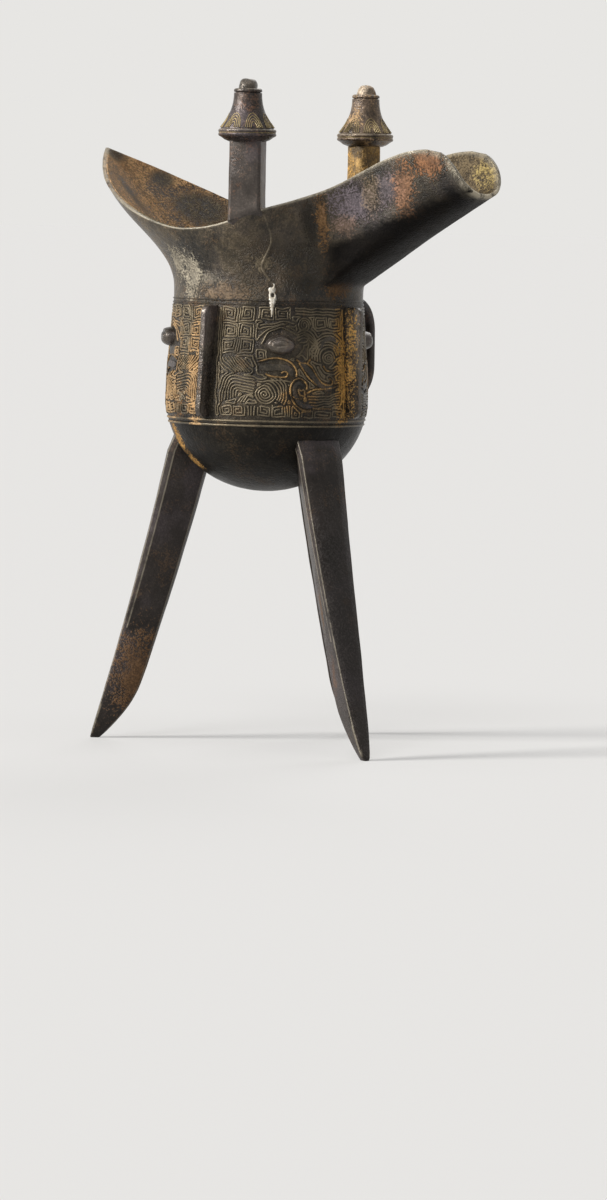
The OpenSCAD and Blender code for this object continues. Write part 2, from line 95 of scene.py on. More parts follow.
def add_camera():
    ahead = Vector((-sin(YAW) * cos(PITCH), cos(YAW) * cos(PITCH), -sin(PITCH)))
    right = Vector((cos(YAW), sin(YAW), 0))
    up = right.cross(ahead)
    side = cos(ROLL) * right + sin(ROLL) * up
    top = cos(ROLL) * up - sin(ROLL) * right
    data = bpy.data.cameras.new("camera")
    data.sensor_fit = "VERTICAL"
    data.sensor_height = SENSOR_MM
    data.lens = LENS_MM
    scene.camera = placed("camera", data)
    scene.camera.location = CAMERA_PLACE
    scene.camera.rotation_euler = Matrix((side, top, -ahead)).transposed().to_euler()
    return ahead, right


class Wire:
    """A value in a node tree. Arithmetic on it adds Math nodes."""

    def __init__(self, graph, socket):
        self.graph = graph
        self.socket = socket

    def math(self, operation, a, b):
        return self.graph.node("ShaderNodeMath", {"operation": operation}, {0: a, 1: b})

    def __add__(self, other):
        return self.math("ADD", self, other)

    def __radd__(self, other):
        return self.math("ADD", other, self)

    def __sub__(self, other):
        return self.math("SUBTRACT", self, other)

    def __rsub__(self, other):
        return self.math("SUBTRACT", other, self)

    def __mul__(self, other):
        return self.math("MULTIPLY", self, other)

    def __rmul__(self, other):
        return self.math("MULTIPLY", other, self)

    def larger(self, other):
        return self.math("MAXIMUM", self, other)

    def ramp(self, low, high):
        """0 at low, 1 at high, smooth between; low may be the larger."""
        limits = {"Value": self, "From Min": low, "From Max": high}
        return self.graph.node("ShaderNodeMapRange", {"interpolation_type": "SMOOTHSTEP"}, limits)


class Graph:
    """A shader tree under construction. Every node goes through node()."""

    def __init__(self, tree):
        self.tree = tree

    def node(self, kind, settings=None, inputs=None, out=0):
        made = self.tree.nodes.new(kind)
        for key, value in (settings or {}).items():
            setattr(made, key, value)
        for key, value in (inputs or {}).items():
            self.feed(self.socket(made.inputs, key), value)
        return Wire(self, self.socket(made.outputs, out))

    def socket(self, sockets, key):
        """A socket by its number, its identifier or its name."""
        for s in sockets:
            if s.identifier == key:
                return s
        return sockets[key]

    def feed(self, socket, value):
        if isinstance(value, Wire):
            self.tree.links.new(value.socket, socket)
        elif socket.type == "RGBA":
            socket.default_value = (*value, 1.0)
        else:
            socket.default_value = value

    def mix(self, low, high, factor):
        inputs = {"Factor_Float": factor, "A_Color": low, "B_Color": high}
        return self.node("ShaderNodeMix", {"data_type": "RGBA"}, inputs, "Result_Color")

    def vector(self, operation, a, b=(0, 0, 0), out=0):
        return self.node("ShaderNodeVectorMath", {"operation": operation}, {0: a, 1: b}, out)

    def seen(self):
        """1 for what the camera sees, directly, in the metal or through it; 0 for what lights the object."""
        kinds = ("Camera", "Glossy", "Transmission")
        camera, glossy, through = [self.node("ShaderNodeLightPath", out=f"Is {kind} Ray") for kind in kinds]
        return camera.larger(glossy).larger(through)


class Finish(Graph):
    """One material."""

    def __init__(self, name):
        self.material = bpy.data.materials.new(name)
        self.material.use_nodes = True
        super().__init__(self.material.node_tree)
        self.shader = self.tree.nodes["Principled BSDF"].inputs
        self.place = self.node("ShaderNodeTexCoord", out="Object")

    def grain(self, size_mm, detail, rough, shift=0.0):
        """Soft noise whose blobs are about size_mm across."""
        place = self.vector("ADD", self.place, (shift, shift, 0)) if shift else self.place
        inputs = {"Vector": place, "Scale": 1000 / size_mm, "Detail": detail, "Roughness": rough}
        return self.node("ShaderNodeTexNoise", {}, inputs)

    def near(self, centre, size):
        """How near the surface is to a place in cup millimetres: 1 there, 0 at size, then negative."""
        offset = self.vector("SUBTRACT", self.place, in_frame(centre))
        scaled = self.vector("MULTIPLY", offset, tuple(1 / (s * MM) for s in size))
        return 1 - self.vector("LENGTH", scaled, out="Value")

    def along(self, direction):
        """How far the surface lies along a direction of the frame, in metres."""
        return self.vector("DOT_PRODUCT", self.place, direction, "Value")

    def attribute(self, name):
        return self.node("ShaderNodeAttribute", {"attribute_name": name}, out="Fac")

    def brighter(self, color, times):
        return self.node("ShaderNodeVectorMath", {"operation": "SCALE"}, {0: color, "Scale": times})

    def finish(self, color, rough, metal, height, bump, distance=0.0004):
        self.feed(self.shader["Base Color"], color)
        self.feed(self.shader["Roughness"], rough)
        self.feed(self.shader["Metallic"], metal)
        relief = {"Strength": bump, "Distance": distance, "Height": height}
        self.feed(self.shader["Normal"], self.node("ShaderNodeBump", {}, relief))
        return self.material


# Colours of the patina, linear; some of them stand for painted shade and painted sheen, as marked
NEARLY_BLACK = (0.010, 0.009, 0.007)
# Painted shade for the underside of the spout
UNDERSIDE_SHADE = (0.0060, 0.0053, 0.0050)
DARK_BROWN = (0.030, 0.024, 0.017)
MID_BROWN = (0.088, 0.066, 0.044)
# A grey that stands partly for grey patina, partly for painted sheen
SHEEN_GREY = (0.110, 0.090, 0.097)
# Painted sheen for the upper face of the spout
PAINTED_PURPLE_SHEEN = (0.190, 0.155, 0.172)
OLIVE = (0.120, 0.098, 0.045)
GOLD_DUST = (0.640, 0.350, 0.105)
BRIGHT_GOLD = (0.800, 0.450, 0.130)
SAND = (0.590, 0.375, 0.180)
OCHRE = (0.300, 0.155, 0.055)
RUST = (0.340, 0.150, 0.062)
PALE = (0.420, 0.370, 0.280)
GREEN_GREY = (0.110, 0.112, 0.080)


def painted_underside_shade(f, fine):
    """Painted shade under the spout: darker below a line that climbs along it, from its root onward."""
    height = f.along((-0.39, 0, 1)) + (fine - 0.5) * 0.004
    return height.ramp(0.1505, 0.1440) * f.along((1, 0, 0)).ramp(0.0170, 0.0260)


def lining(f, clouds, fine, grit, speckle, torn):
    """Colour and crust inside the mouth: orange crust in the tail, greenish gold in the spout, painted shade
    in the tail's valley.
    """
    crust = (clouds * 0.6 + fine * 0.4 + (grit - 0.5) * 0.6).ramp(0.34, 0.56)
    in_tail = f.near((-46, 0, 170), (40, 40, 26)).ramp(-0.1, 0.4)
    in_spout = f.near((64, 9, 178), (26, 20, 16)).ramp(0.0, 0.4)
    color = f.mix(DARK_BROWN, OLIVE, clouds.ramp(0.38, 0.6))
    color = f.mix(color, f.mix((0.40, 0.21, 0.085), (0.86, 0.54, 0.26), speckle), crust * in_tail)
    wide, high, tip = [
        (f.near(centre, size) + torn * tear).ramp(0.1, full) for centre, size, tear, full in (
            ((-38, 18, 166), (14, 12, 8), 0.5, 0.5),
            ((-50.5, 12.5, 175), (5, 6, 4.5), 0.3, 0.6),
            ((-61, 0, 183), (7, 7, 6), 0.3, 0.6),
        )
    ]
    grey = wide.larger(high).larger(tip)
    color = f.mix(color, f.mix(DARK_BROWN, GREEN_GREY, speckle), grey * 0.85)
    golden = (f.near((72, 7, 178), (7, 8, 6)) + torn * 0.4).ramp(0.0, 0.5)
    bright = f.mix((0.21, 0.155, 0.085), (0.47, 0.35, 0.13), golden)
    granules = (fine * 0.6 + grit * 0.5).ramp(0.46, 0.66)
    color = f.mix(color, f.mix((0.075, 0.055, 0.032), bright, granules), in_spout)
    pits = (fine + grit * 0.4).ramp(0.62, 0.50)
    color = f.mix(color, NEARLY_BLACK, pits * (0.75 - 0.35 * in_tail))
    # Painted shade along the valley of the tail
    valley_shade = (f.near((-47, -8.2, 168), (16, 4.2, 17)) + torn * 0.15).ramp(0.0, 0.9)
    return f.mix(color, NEARLY_BLACK, valley_shade * 0.75), crust


def patina(name, ground, lighter, sheen, dust, rough, patches=(), metal=0.15, edge=0.0, relief=1.0,
           dusty=OCHRE, mottle=1.0, glint=0.3, ragged=1.0, is_mouth=False):
    """Old bronze: a smooth dark skin, lighter clouds, granular coloured crust in patches, fine pitting.

    sheen is the share of grey blotches, partly grey patina and partly painted sheen, and dust that of loose
    crust.
    mottle says how blotchy the skin is, ragged how torn the outlines of its patches are, and edge how bright
    the
    marked edges are painted: partly rubbed wear, partly painted highlight.
    """
    f = Finish(f"patina_{name}")
    clouds = f.grain(22, 7.0, 0.62)
    fine = f.grain(3.4, 7.0, 0.72, 0.7)
    grit = f.grain(0.6, 2.0, 0.6, 0.3)
    bluish = f.grain(15, 4.0, 0.55, 1.9)
    loose = f.grain(9, 8.0, 0.72, 4.1)
    cloudy = clouds * 0.75 + fine * 0.5 * mottle + 0.25 * (1 - mottle)
    color = f.mix(ground, lighter, cloudy.ramp(0.50, 0.82))
    color = f.mix(color, SHEEN_GREY, bluish.ramp(0.46, 0.66) * sheen)
    color = f.mix(color, NEARLY_BLACK, (fine * 0.7 + clouds * 0.5).ramp(0.60, 0.44) * 0.9 * mottle)
    speckle = (grit * 0.6 + fine * 0.5).ramp(0.50, 0.68)
    color = f.mix(f.brighter(color, 1 - 0.25 * mottle), f.brighter(color, 1 + 0.9 * mottle), speckle)
    covered = (loose * 0.8 + grit * 0.45).ramp(0.66, 0.78) * dust
    color = f.mix(color, dusty, covered)
    torn = (fine - 0.5) * 2.2 * ragged + (grit - 0.5) * 2.6 * ragged
    for centre, size, paint, strength in patches:
        mask = (f.near(centre, size) * 1.3 + torn).ramp(0.15, 0.75) * strength
        color = f.mix(color, f.mix(f.brighter(paint, 0.5), paint, speckle), mask)
        covered = covered.larger(mask)
    if is_mouth:
        # Painted shade: the underside of the spout is painted near-black and made rougher
        under_shade = painted_underside_shade(f, fine)
        color = f.mix(color, UNDERSIDE_SHADE, under_shade * 0.95)
        covered = covered.larger(under_shade * 0.75)
        inside = f.attribute("inside")
        lining_color, crust = lining(f, clouds, fine, grit, speckle, torn)
        color = f.mix(color, lining_color, inside)
        covered = covered.larger(inside * (0.35 + crust * 0.65))
    edge_wear_and_glint = 0.0
    if edge:
        # Marked edges painted pale: partly rubbed wear, partly painted highlight
        edge_wear_and_glint = f.attribute("worn") * (fine * 0.8 + clouds * 0.4).ramp(0.42, 0.62)
        color = f.mix(color, PALE, edge_wear_and_glint * edge)
    gloss = rough + (clouds - 0.5) * 0.3 + (fine - 0.5) * 0.3 + covered * 0.4 - edge_wear_and_glint * 0.1
    height = clouds * 0.8 + fine * (0.6 + covered * 0.4) + grit * (0.22 + covered * 0.22)
    shine = metal * (1 - covered)
    if is_mouth:
        # The painted shade under the spout is metallic, as black metal mirrors less of the pale surroundings
        # than black crust
        shine = shine.larger(under_shade * 0.9)
    f.shader["Specular IOR Level"].default_value = glint
    return f.finish(color, gloss, shine, height, 0.85 * relief, 0.001)


def mesh_of(name, points, faces):
    """A mesh from points in cup millimetres."""
    mesh = bpy.data.meshes.new(name)
    mesh.from_pydata([in_frame(p) for p in points], [], faces)
    return mesh


def mark(mesh, **values):
    for key, numbers in values.items():
        mesh.attributes.new(key, "FLOAT", "POINT").data.foreach_set("value", numbers)


def finished(name, mesh, material, slot, sharp, *nodes):
    """One visible piece, which stands for the named nodes of the CAD."""
    mesh.materials.clear()
    mesh.materials.append(material)
    mesh.shade_smooth()
    mesh.set_sharp_from_angle(angle=radians(sharp))
    made = placed(name, mesh)
    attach(made, "root")
    if nodes:
        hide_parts(*nodes)
    return made


def cleaned(mesh, merge_mm=0.004):
    """Merges doubles and turns every face outward."""
    work = bmesh.new()
    work.from_mesh(mesh)
    bmesh.ops.remove_doubles(work, verts=work.verts, dist=merge_mm * MM)
    bmesh.ops.dissolve_degenerate(work, edges=work.edges, dist=merge_mm * MM * 0.1)
    bmesh.ops.recalc_face_normals(work, faces=work.faces)
    work.to_mesh(mesh)
    work.free()
    return mesh


def joined(meshes):
    work = bmesh.new()
    for mesh in meshes:
        work.from_mesh(mesh)
        bpy.data.meshes.remove(mesh)
    bmesh.ops.recalc_face_normals(work, faces=work.faces)
    result = bpy.data.meshes.new("joined")
    work.to_mesh(result)
    work.free()
    return result


def evaluated(made):
    """The mesh of an object after its modifiers."""
    bpy.context.view_layer.update()
    return bpy.data.meshes.new_from_object(made.evaluated_get(bpy.context.evaluated_depsgraph_get()))


def rough_cast(mesh, amount, size):
    """Moves the points a little along their normals, as a cast surface is never quite true."""
    normals = [Vector(n.vector) for n in mesh.vertex_normals]
    for v, n in zip(mesh.vertices, normals):
        p = v.co * 1000
        d = noise.noise(p / size) + 0.25 * noise.noise(p / (size * 0.27))
        v.co += n * (d * amount * MM)


def ring_faces(columns, rows):
    """Quads of a net that closes both ways: columns round, rows along."""
    faces = []
    for i in range(columns):
        here, there = i * rows, (i + 1) % columns * rows
        for j in range(rows):
            k = (j + 1) % rows
            faces.append((here + j, there + j, there + k, here + k))
    return faces


def tube_faces(rings, n, capped=True):
    """Quads between rings of n points each, with one flat face at either end."""
    faces = []
    for k in range(rings - 1):
        for i in range(n):
            a, b = k * n + i, k * n + (i + 1) % n
            faces.append((a, b, b + n, a + n))
    if capped:
        faces += [tuple(range(n)), tuple(range(rings * n - 1, rings * n - n - 1, -1))]
    return faces


def solid(name, points, faces, material, slot, sharp, node, uneven=0.0, size=12.0):
    """A closed piece for one node; uneven is its roughness in millimetres, size that of the bumps."""
    mesh = cleaned(mesh_of(name, points, faces))
    if uneven:
        rough_cast(mesh, uneven, size)
    return finished(name, mesh, material, slot, sharp, node)


def spun(profile, columns, centre=(0, 0)):
    """The points of a turned body, from a closed profile of (radius, height)."""
    return [polar(r, 2 * pi * i / columns, z, centre) for i in range(columns) for r, z in profile]


# The wall of the cup: heights, then radii, and the wall's thickness below and at the rim
BAND_LOW, BAND_HIGH, NECK_TOP, BOTTOM, WIDE = 100.8, 137.6, 142.5, 79.0, 107.0
BELLY_R, NECK_R, WALL, RIM_T, RIM_ROUND = 31.0, 29.2, 2.2, 1.4, 0.38


def wall_r(z, wall=0.0):
    if z < WIDE:
        low = BOTTOM + wall
        return (BELLY_R - wall) * sqrt(max(0.0, 1 - ((WIDE - z) / (WIDE - low)) ** 2))
    return BELLY_R + (NECK_R - BELLY_R) * (1 - cos(pi * (z - WIDE) / (NECK_TOP - WIDE))) / 2 - wall


def profile_between(z0, z1, wall, n, toward_pole=False):
    zs = [z0 + (z1 - z0) * (1 - cos(pi / 2 * i / n) if toward_pole else i / n) for i in range(n + 1)]
    return [(wall_r(z, wall), z) for z in zs]


# Mouth, spout and tail: columns of points that rise from the neck to the rim
MOUTH_HALF, RIM_LOW, RIM_BACK = 36.6, 159.8, 8.0
SPOUT_REACH, SPOUT_HALF, SPOUT_TOP, SHOULDER_X = 79.3, 13.2, 184.7, 25.0
LIP_Z, LIP_LEAN, LIP_CORNER = 170.8, 5.5, 8.4
LIP_BACK = SPOUT_REACH - LIP_LEAN - LIP_CORNER
SHOULDER_FROM, SHOULDER_TO = SHOULDER_X + 9, SHOULDER_X - 9
TAIL_REACH, TAIL_TIP, TAIL_FROM = 63.8, 184.4, -30.0
NECK_ROWS, MOUTH_ROWS = 7, 40
# The columns of the spout gather on the neck, aimed at no further out than this
FOOT_X = 35


def rim_half(x):
    if x > 0:
        return SPOUT_HALF + (MOUTH_HALF - SPOUT_HALF) / (1 + (x / SHOULDER_X) ** 6.5)
    return MOUTH_HALF * (1 - clamp(-x / TAIL_REACH) ** 3.1)


def rim_z(x):
    if x > -RIM_BACK:
        return RIM_LOW + (SPOUT_TOP - RIM_LOW) * ease(clamp((x + RIM_BACK) / (LIP_BACK + RIM_BACK)) ** 1.15)
    return RIM_LOW + (TAIL_TIP - RIM_LOW) * clamp((-x - RIM_BACK) / (TAIL_REACH - RIM_BACK)) ** 1.55


def lip_point(a):
    rise = 1 - max(0.0, cos(a)) ** (2 / 2.4)
    corner = 1 - (1 - rise ** 3) ** (1 / 3)
    return Vector((
        SPOUT_REACH - LIP_LEAN * rise - LIP_CORNER * corner,
        SPOUT_HALF * sin(a) ** (2 / 2.4),
        LIP_Z + (SPOUT_TOP - LIP_Z) * rise,
    ))


def half_rim():
    xs = steps(LIP_BACK, SHOULDER_FROM, 36) + steps(SHOULDER_FROM, SHOULDER_TO, 40)
    xs += steps(SHOULDER_TO, TAIL_FROM, 44)
    xs += [TAIL_FROM - (TAIL_REACH + TAIL_FROM) * sin(pi / 2 * i / 40) for i in range(41)]
    lip = [lip_point(pi / 2 * i / 48) for i in range(48)]
    return lip + [Vector((x, rim_half(x), rim_z(x))) for x in xs]


def column(p):
    """One column of the outer face: up the neck, then along a curve to the point p of the rim."""
    x = p.x / (1 + (p.x / FOOT_X) ** 3) ** (1 / 3) if p.x > 0 else p.x
    a = atan2(p.y, x)
    foot = Vector((NECK_R * cos(a), NECK_R * sin(a), NECK_TOP))
    k = ease((p.x - SHOULDER_TO) / (SHOULDER_FROM + 11 - SHOULDER_TO))
    out = 1 + 3.6 * k / NECK_R
    start = Vector((foot.x * out, foot.y * out, foot.z + blend(9.5, 0.7, k)))
    across, down = blend(0.72, 0.55, k), blend(0.34, 0.43, k)
    end = Vector((blend(foot.x, p.x, across), blend(foot.y, p.y, across), p.z - down * (p.z - foot.z)))
    line = []
    for z in steps(BAND_HIGH, NECK_TOP, NECK_ROWS):
        line.append(Vector((foot.x * wall_r(z) / NECK_R, foot.y * wall_r(z) / NECK_R, z)))
    for j in range(MOUTH_ROWS):
        t = (j / (MOUTH_ROWS - 1)) ** 1.15
        left = 1 - t
        line.append(left ** 3 * foot + 3 * left ** 2 * t * start + 3 * left * t * t * end + t ** 3 * p)
    return line


def build_mouth():
    side = half_rim()
    rim = side + [Vector((p.x, -p.y, p.z)) for p in reversed(side[1:-1])]
    net = [column(p) for p in rim]
    rows = NECK_ROWS + MOUTH_ROWS
    # A small fillet where the keel of the spout leaves the neck
    rounds, fillet_top = 14, NECK_ROWS + 9
    for _ in range(rounds):
        for line in net:
            moved = list(line)
            for j in range(2, fillet_top):
                moved[j] = line[j] * 0.5 + (line[j - 1] + line[j + 1]) * 0.25
            line[:] = moved
    points, inside, worn = [], [], []
    for i, line in enumerate(net):
        before, after = net[i - 1], net[(i + 1) % len(net)]
        inner = []
        for j in range(rows):
            across = after[j] - before[j]
            along = line[min(j + 1, rows - 1)] - line[max(j - 1, 0)]
            normal = across.cross(along).normalized()
            t = clamp((j - NECK_ROWS) / (MOUTH_ROWS - 1))
            if j == rows - 1:
                k = ease((rim[i].x - LIP_BACK) / (SPOUT_REACH - LIP_BACK))
                normal = Vector((normal.x, normal.y, normal.z * k)).normalized()
            inner.append(line[j] - normal * blend(WALL, RIM_T, t ** 1.15))
        # The rim is rounded, and painted pale except at the tip of the tail: partly rubbed wear, partly a
        # painted highlight
        top, back = line[-1], inner[-1]
        down = (line[-2] - top).normalized() * RIM_ROUND
        edge = [top + down, top.lerp(back, 0.16) + down * 0.2, top.lerp(back, 0.5),
                top.lerp(back, 0.84) + down * 0.2, back + down]
        points += line[:-1] + edge + list(reversed(inner[:-1]))
        inside += [0.0] * (rows - 1) + [0.0, 0.15, 0.4, 0.7, 1.0] + [1.0] * (rows - 1)
        rim_brightness = blend(0.5, 1.0, ease((rim[i].x + 55) / 45))
        bright = [0.2 * (rim_brightness - 0.5)] + [rim_brightness] * 4 + [0.6 * rim_brightness]
        worn += [0.0] * (rows - 2) + bright + [0.0] * (rows - 1)
    mesh = mesh_of("mouth", points, ring_faces(len(rim), len(points) // len(rim)))
    mark(mesh, inside=inside, worn=worn)
    rough_cast(mesh, 0.16, 14.0)
    nodes = ("neck", "mouth_wall_mask_side", "mouth_wall_handle_side", "spout", "tail")
    return finished("mouth_spout_and_tail", mesh, mouth_finish, "bronze_grey", 50, *nodes)


# Ornament is drawn flat: u runs round the wall from the middle of a mask, v is the height
MASK, HANDLE = -pi / 2, pi / 2


def on_belly(u, v, lift, hand, middle):
    a = middle + hand * u / BELLY_R
    return Vector(polar(wall_r(v) + lift, a, v))


def curve_through(points, step=0.4):
    """An even, smooth line through points."""
    pts = [Vector(p) for p in points]
    pts = [2 * pts[0] - pts[1]] + pts + [2 * pts[-1] - pts[-2]]
    line = []
    for a, b, c, d in zip(pts, pts[1:], pts[2:], pts[3:]):
        n = max(2, int((c - b).length / step))
        for i in range(n):
            t = i / n
            line.append(0.5 * (2 * b + (c - a) * t + (2 * a - 5 * b + 4 * c - d) * t * t
                               + (3 * b - a - 3 * c + d) * t ** 3))
    line.append(pts[-2])
    return line


def polyline(points, step=0.5):
    """Straight runs between corners, cut into short steps so that they bend with the wall."""
    line = []
    for a, b in zip(points, points[1:]):
        a, b = Vector(a), Vector(b)
        n = max(1, int((b - a).length / step))
        line += [a.lerp(b, i / n) for i in range(n)]
    return line + [Vector(points[-1])]


def square_spiral(cu, cv, w, h, pitch, turn, flip):
    """A thunder-pattern square: a line that winds inward in right angles."""
    left, right, low, high = -w / 2, w / 2, -h / 2, h / 2
    corners = [(left, low)]
    while right - left > pitch * 0.7 and high - low > pitch * 0.7:
        corners += [(left, high), (right, high), (right, low)]
        left += pitch
        if right - left < pitch * 0.5:
            break
        corners.append((left, low))
        high -= pitch
        right -= pitch
        low += pitch
    return polyline([(cu + turn * x, cv + flip * y) for x, y in corners])


def round_spiral(cu, cv, r, pitch, turns, a0=0.0, hand=1):
    n = int(turns * 26)
    line = []
    for i in range(n + 1):
        a = a0 + hand * 2 * pi * turns * i / n
        q = r - pitch * turns * i / n
        if q > 0.15:
            line.append(Vector((cu + q * cos(a), cv + q * sin(a))))
    return line


def arc(cu, cv, r, a0, a1, n):
    return [Vector((cu + r * cos(a), cv + r * sin(a))) for a in steps(a0, a1, n)]


def beside(line, distance):
    """The same line moved sideways."""
    moved = []
    for i, p in enumerate(line):
        d = line[min(i + 1, len(line) - 1)] - line[max(i - 1, 0)]
        d = d.normalized() if d.length else Vector((1, 0))
        moved.append(p + Vector((-d.y, d.x)) * distance)
    return moved


def fine_lines():
    """Thunder pattern and filling lines of half a mask."""
    lines = []

    def curve(*points):
        lines.append(curve_through(points))

    def square(*shape):
        lines.append(square_spiral(*shape))

    # Squares above and beside the nose
    for row, v in enumerate((134.0, 129.2, 124.4)):
        for col, u in enumerate((6.6, 12.0)):
            turn = 1 if (row + col) % 2 else -1
            square(u, v, 4.7, 4.0, 0.82, turn, -turn if col else turn)
    for u, turn in ((18.2, 1), (23.6, -1)):
        square(u, 134.4, 4.6, 3.4, 0.82, turn, 1)
    # The lid over the eye, and hooks on either side of it
    curve((16.6, 125.0), (18.6, 128.3), (22.4, 129.8), (26.2, 129.2), (29.2, 127.2))
    curve((16.4, 130.4), (19.6, 131.4), (23.4, 131.8), (27.0, 131.2))
    square(17.0, 121.9, 3.0, 2.6, 0.8, -1, 1)
    curve((28.9, 125.6), (31.2, 125.9), (32.4, 127.2), (31.6, 128.4), (30.2, 128.0))
    # Slanting lines on the forehead
    for k in range(6):
        curve((4.6 + k * 0.9, 121.2 - 0.1 * k), (6.0 + k * 0.95, 119.0), (9.2 + k * 0.9, 116.6))
    # The large hook low beside the nose: nested lines that climb, turn over and slant down
    for k in range(6):
        d = 0.85 * k
        curve((5.0 + d, 107.4 + 0.4 * d), (5.3 + d, 111.0), (6.6 + d * 0.9, 114.4 - d * 0.8),
              (9.6 + d * 0.2, 115.3 - d), (12.4, 114.6 - d), (15.0, 114.2 - d))
    for k in range(3):
        curve((10.0 + k * 0.9, 107.4), (11.0 + k * 0.9, 108.8), (13.2 + k * 0.6, 109.4 + k * 0.2),
              (15.0, 108.9))
    # Small squares along the foot of the band
    for u, turn in ((6.0, 1), (10.4, -1), (18.0, 1), (22.6, -1)):
        square(u, 104.6, 3.6, 2.7, 0.78, turn, -1)
    for u in (13.4, 14.3, 15.2, 20.6, 25.2, 26.0):
        lines.append(polyline([(u, 103.3), (u, 106.6)]))
    # Round spiral under the eye, and the arcs round it
    lines.append(round_spiral(18.4, 109.9, 3.3, 0.82, 3.9, pi * 0.5, -1))
    for k in range(4):
        lines.append(arc(18.4, 109.9, 4.1 + 0.82 * k, -0.5, 1.5 - 0.12 * k, 18))
    lines.append(polyline([(15.6, 113.9), (26.0, 113.9)]))
    # Ribs of the ear and horn behind the eye
    for k in range(5):
        lines.append(arc(39.2, 121.0, 3.4 + 0.85 * k, 0.25, 3.6 - 0.1 * k, 26))
    for k in range(4):
        d = 0.85 * k
        curve((28.4, 128.6 - 0.8 * k), (31.0, 129.6 - d), (33.4, 128.2 - d), (35.0, 125.6 - 0.5 * k))
    lines.append(round_spiral(30.6, 130.9, 2.3, 0.75, 2.6))
    lines.append(round_spiral(33.8, 123.0, 1.9, 0.75, 2.2, 2.0, -1))
    lines.append(round_spiral(39.1, 120.9, 2.5, 0.78, 3.0))
    for k in range(3):
        lines.append(polyline([(27.6, 136.0 - 0.85 * k), (44.4, 136.0 - 0.85 * k)]))
    square(41.8, 131.6, 4.0, 2.8, 0.8, 1, 1)
    square(36.8, 131.8, 4.0, 2.8, 0.8, -1, 1)
    # Feathers low behind the cheek
    for k in range(5):
        d = 0.85 * k
        curve((31.4 + 0.5 * k, 109.4 - d), (35.0, 109.3 - d), (38.6, 109.6 - 0.8 * k), (43.6, 110.6 - d))
    for u, turn in ((31.6, 1), (42.6, -1)):
        square(u, 103.9, 3.4, 1.7, 0.75, turn, 1)
    return lines


def figure_lines():
    """The gold-edged outlines of the scrolls."""
    shapes = [
        # Cheek: over the outside and back in to a curl
        [(15.9, 119.6), (18.6, 120.5), (22.0, 120.9), (25.0, 120.2), (26.9, 118.9), (27.9, 117.1),
         (27.9, 115.3)],
        [(18.3, 116.1), (20.0, 115.4), (22.9, 115.1), (24.7, 115.3), (25.2, 116.3), (24.2, 116.9),
         (23.2, 116.3)],
        # Body: a wave that ends in a curl
        [(27.9, 120.5), (29.6, 119.5), (31.4, 119.3), (33.2, 117.9), (34.3, 116.1), (35.4, 114.6),
         (36.8, 113.3), (38.6, 112.8), (40.2, 113.0), (40.5, 114.1), (39.3, 114.8)],
        [(28.7, 119.6), (30.0, 117.6), (31.4, 115.6), (32.9, 114.1), (34.6, 112.9)],
        [(31.4, 119.3), (32.4, 120.6)],
        # Ring and the long line under it
        [(31.3, 111.5), (31.0, 113.4), (28.9, 114.8), (26.9, 113.9), (26.0, 111.9), (26.2, 109.6),
         (27.2, 107.4), (28.9, 105.8), (30.7, 105.1), (33.2, 105.3), (36.2, 105.7), (39.8, 105.5)],
        [(26.9, 109.2), (28.2, 108.6), (29.6, 108.7)],
        [(31.4, 110.4), (33.6, 111.4), (36.1, 111.6), (39.6, 111.9), (43.0, 112.6)],
        [(37.1, 118.6), (38.2, 117.3), (40.3, 117.0), (42.6, 117.8)],
    ]
    return [curve_through(s) for s in shapes]


# Low raised bodies between the outlines: a middle line, and the width along it
FIGURE_BODIES = (
    ([(16.4, 117.9), (19.5, 118.0), (23.0, 118.1), (25.6, 117.3), (26.5, 115.5)], 2.2),
    ([(28.6, 120.3), (31.2, 117.9), (33.2, 115.7), (35.4, 113.3), (38.2, 111.9), (40.6, 112.2)], 1.9),
    ([(30.0, 112.6), (28.6, 113.4), (27.4, 112.4), (27.3, 110.6), (28.2, 108.2), (30.2, 106.5),
      (33.6, 106.2)], 1.4),
    ([(36.2, 123.6), (37.4, 126.2), (40.6, 127.0), (43.4, 125.2), (44.0, 122.0)], 1.5),
)


def contour(field, level, columns, rows):
    """The lines on which a field over a grid passes a level, chained end to end, as flat grid points."""
    ends = {}
    for i in range(columns - 1):
        for j in range(rows - 1):
            corners = ((i, j), (i + 1, j), (i + 1, j + 1), (i, j + 1), (i, j))
            cuts = [
                (min(a, b), max(a, b)) for a, b in zip(corners, corners[1:])
                if (field[a] > level) != (field[b] > level)
            ]
            for a, b in zip(cuts[::2], cuts[1::2]):
                ends.setdefault(a, []).append(b)
                ends.setdefault(b, []).append(a)
    lines = []
    while ends:
        line = [next((k for k, v in ends.items() if len(v) == 1), next(iter(ends)))]
        while ends.get(line[-1]):
            there = ends[line[-1]].pop()
            ends[there].remove(line[-1])
            line.append(there)
        for key in line:
            if key in ends and not ends[key]:
                del ends[key]
        lines.append([
            Vector(a).lerp(Vector(b), (level - field[a]) / (field[b] - field[a])) for a, b in line
        ])
    return lines


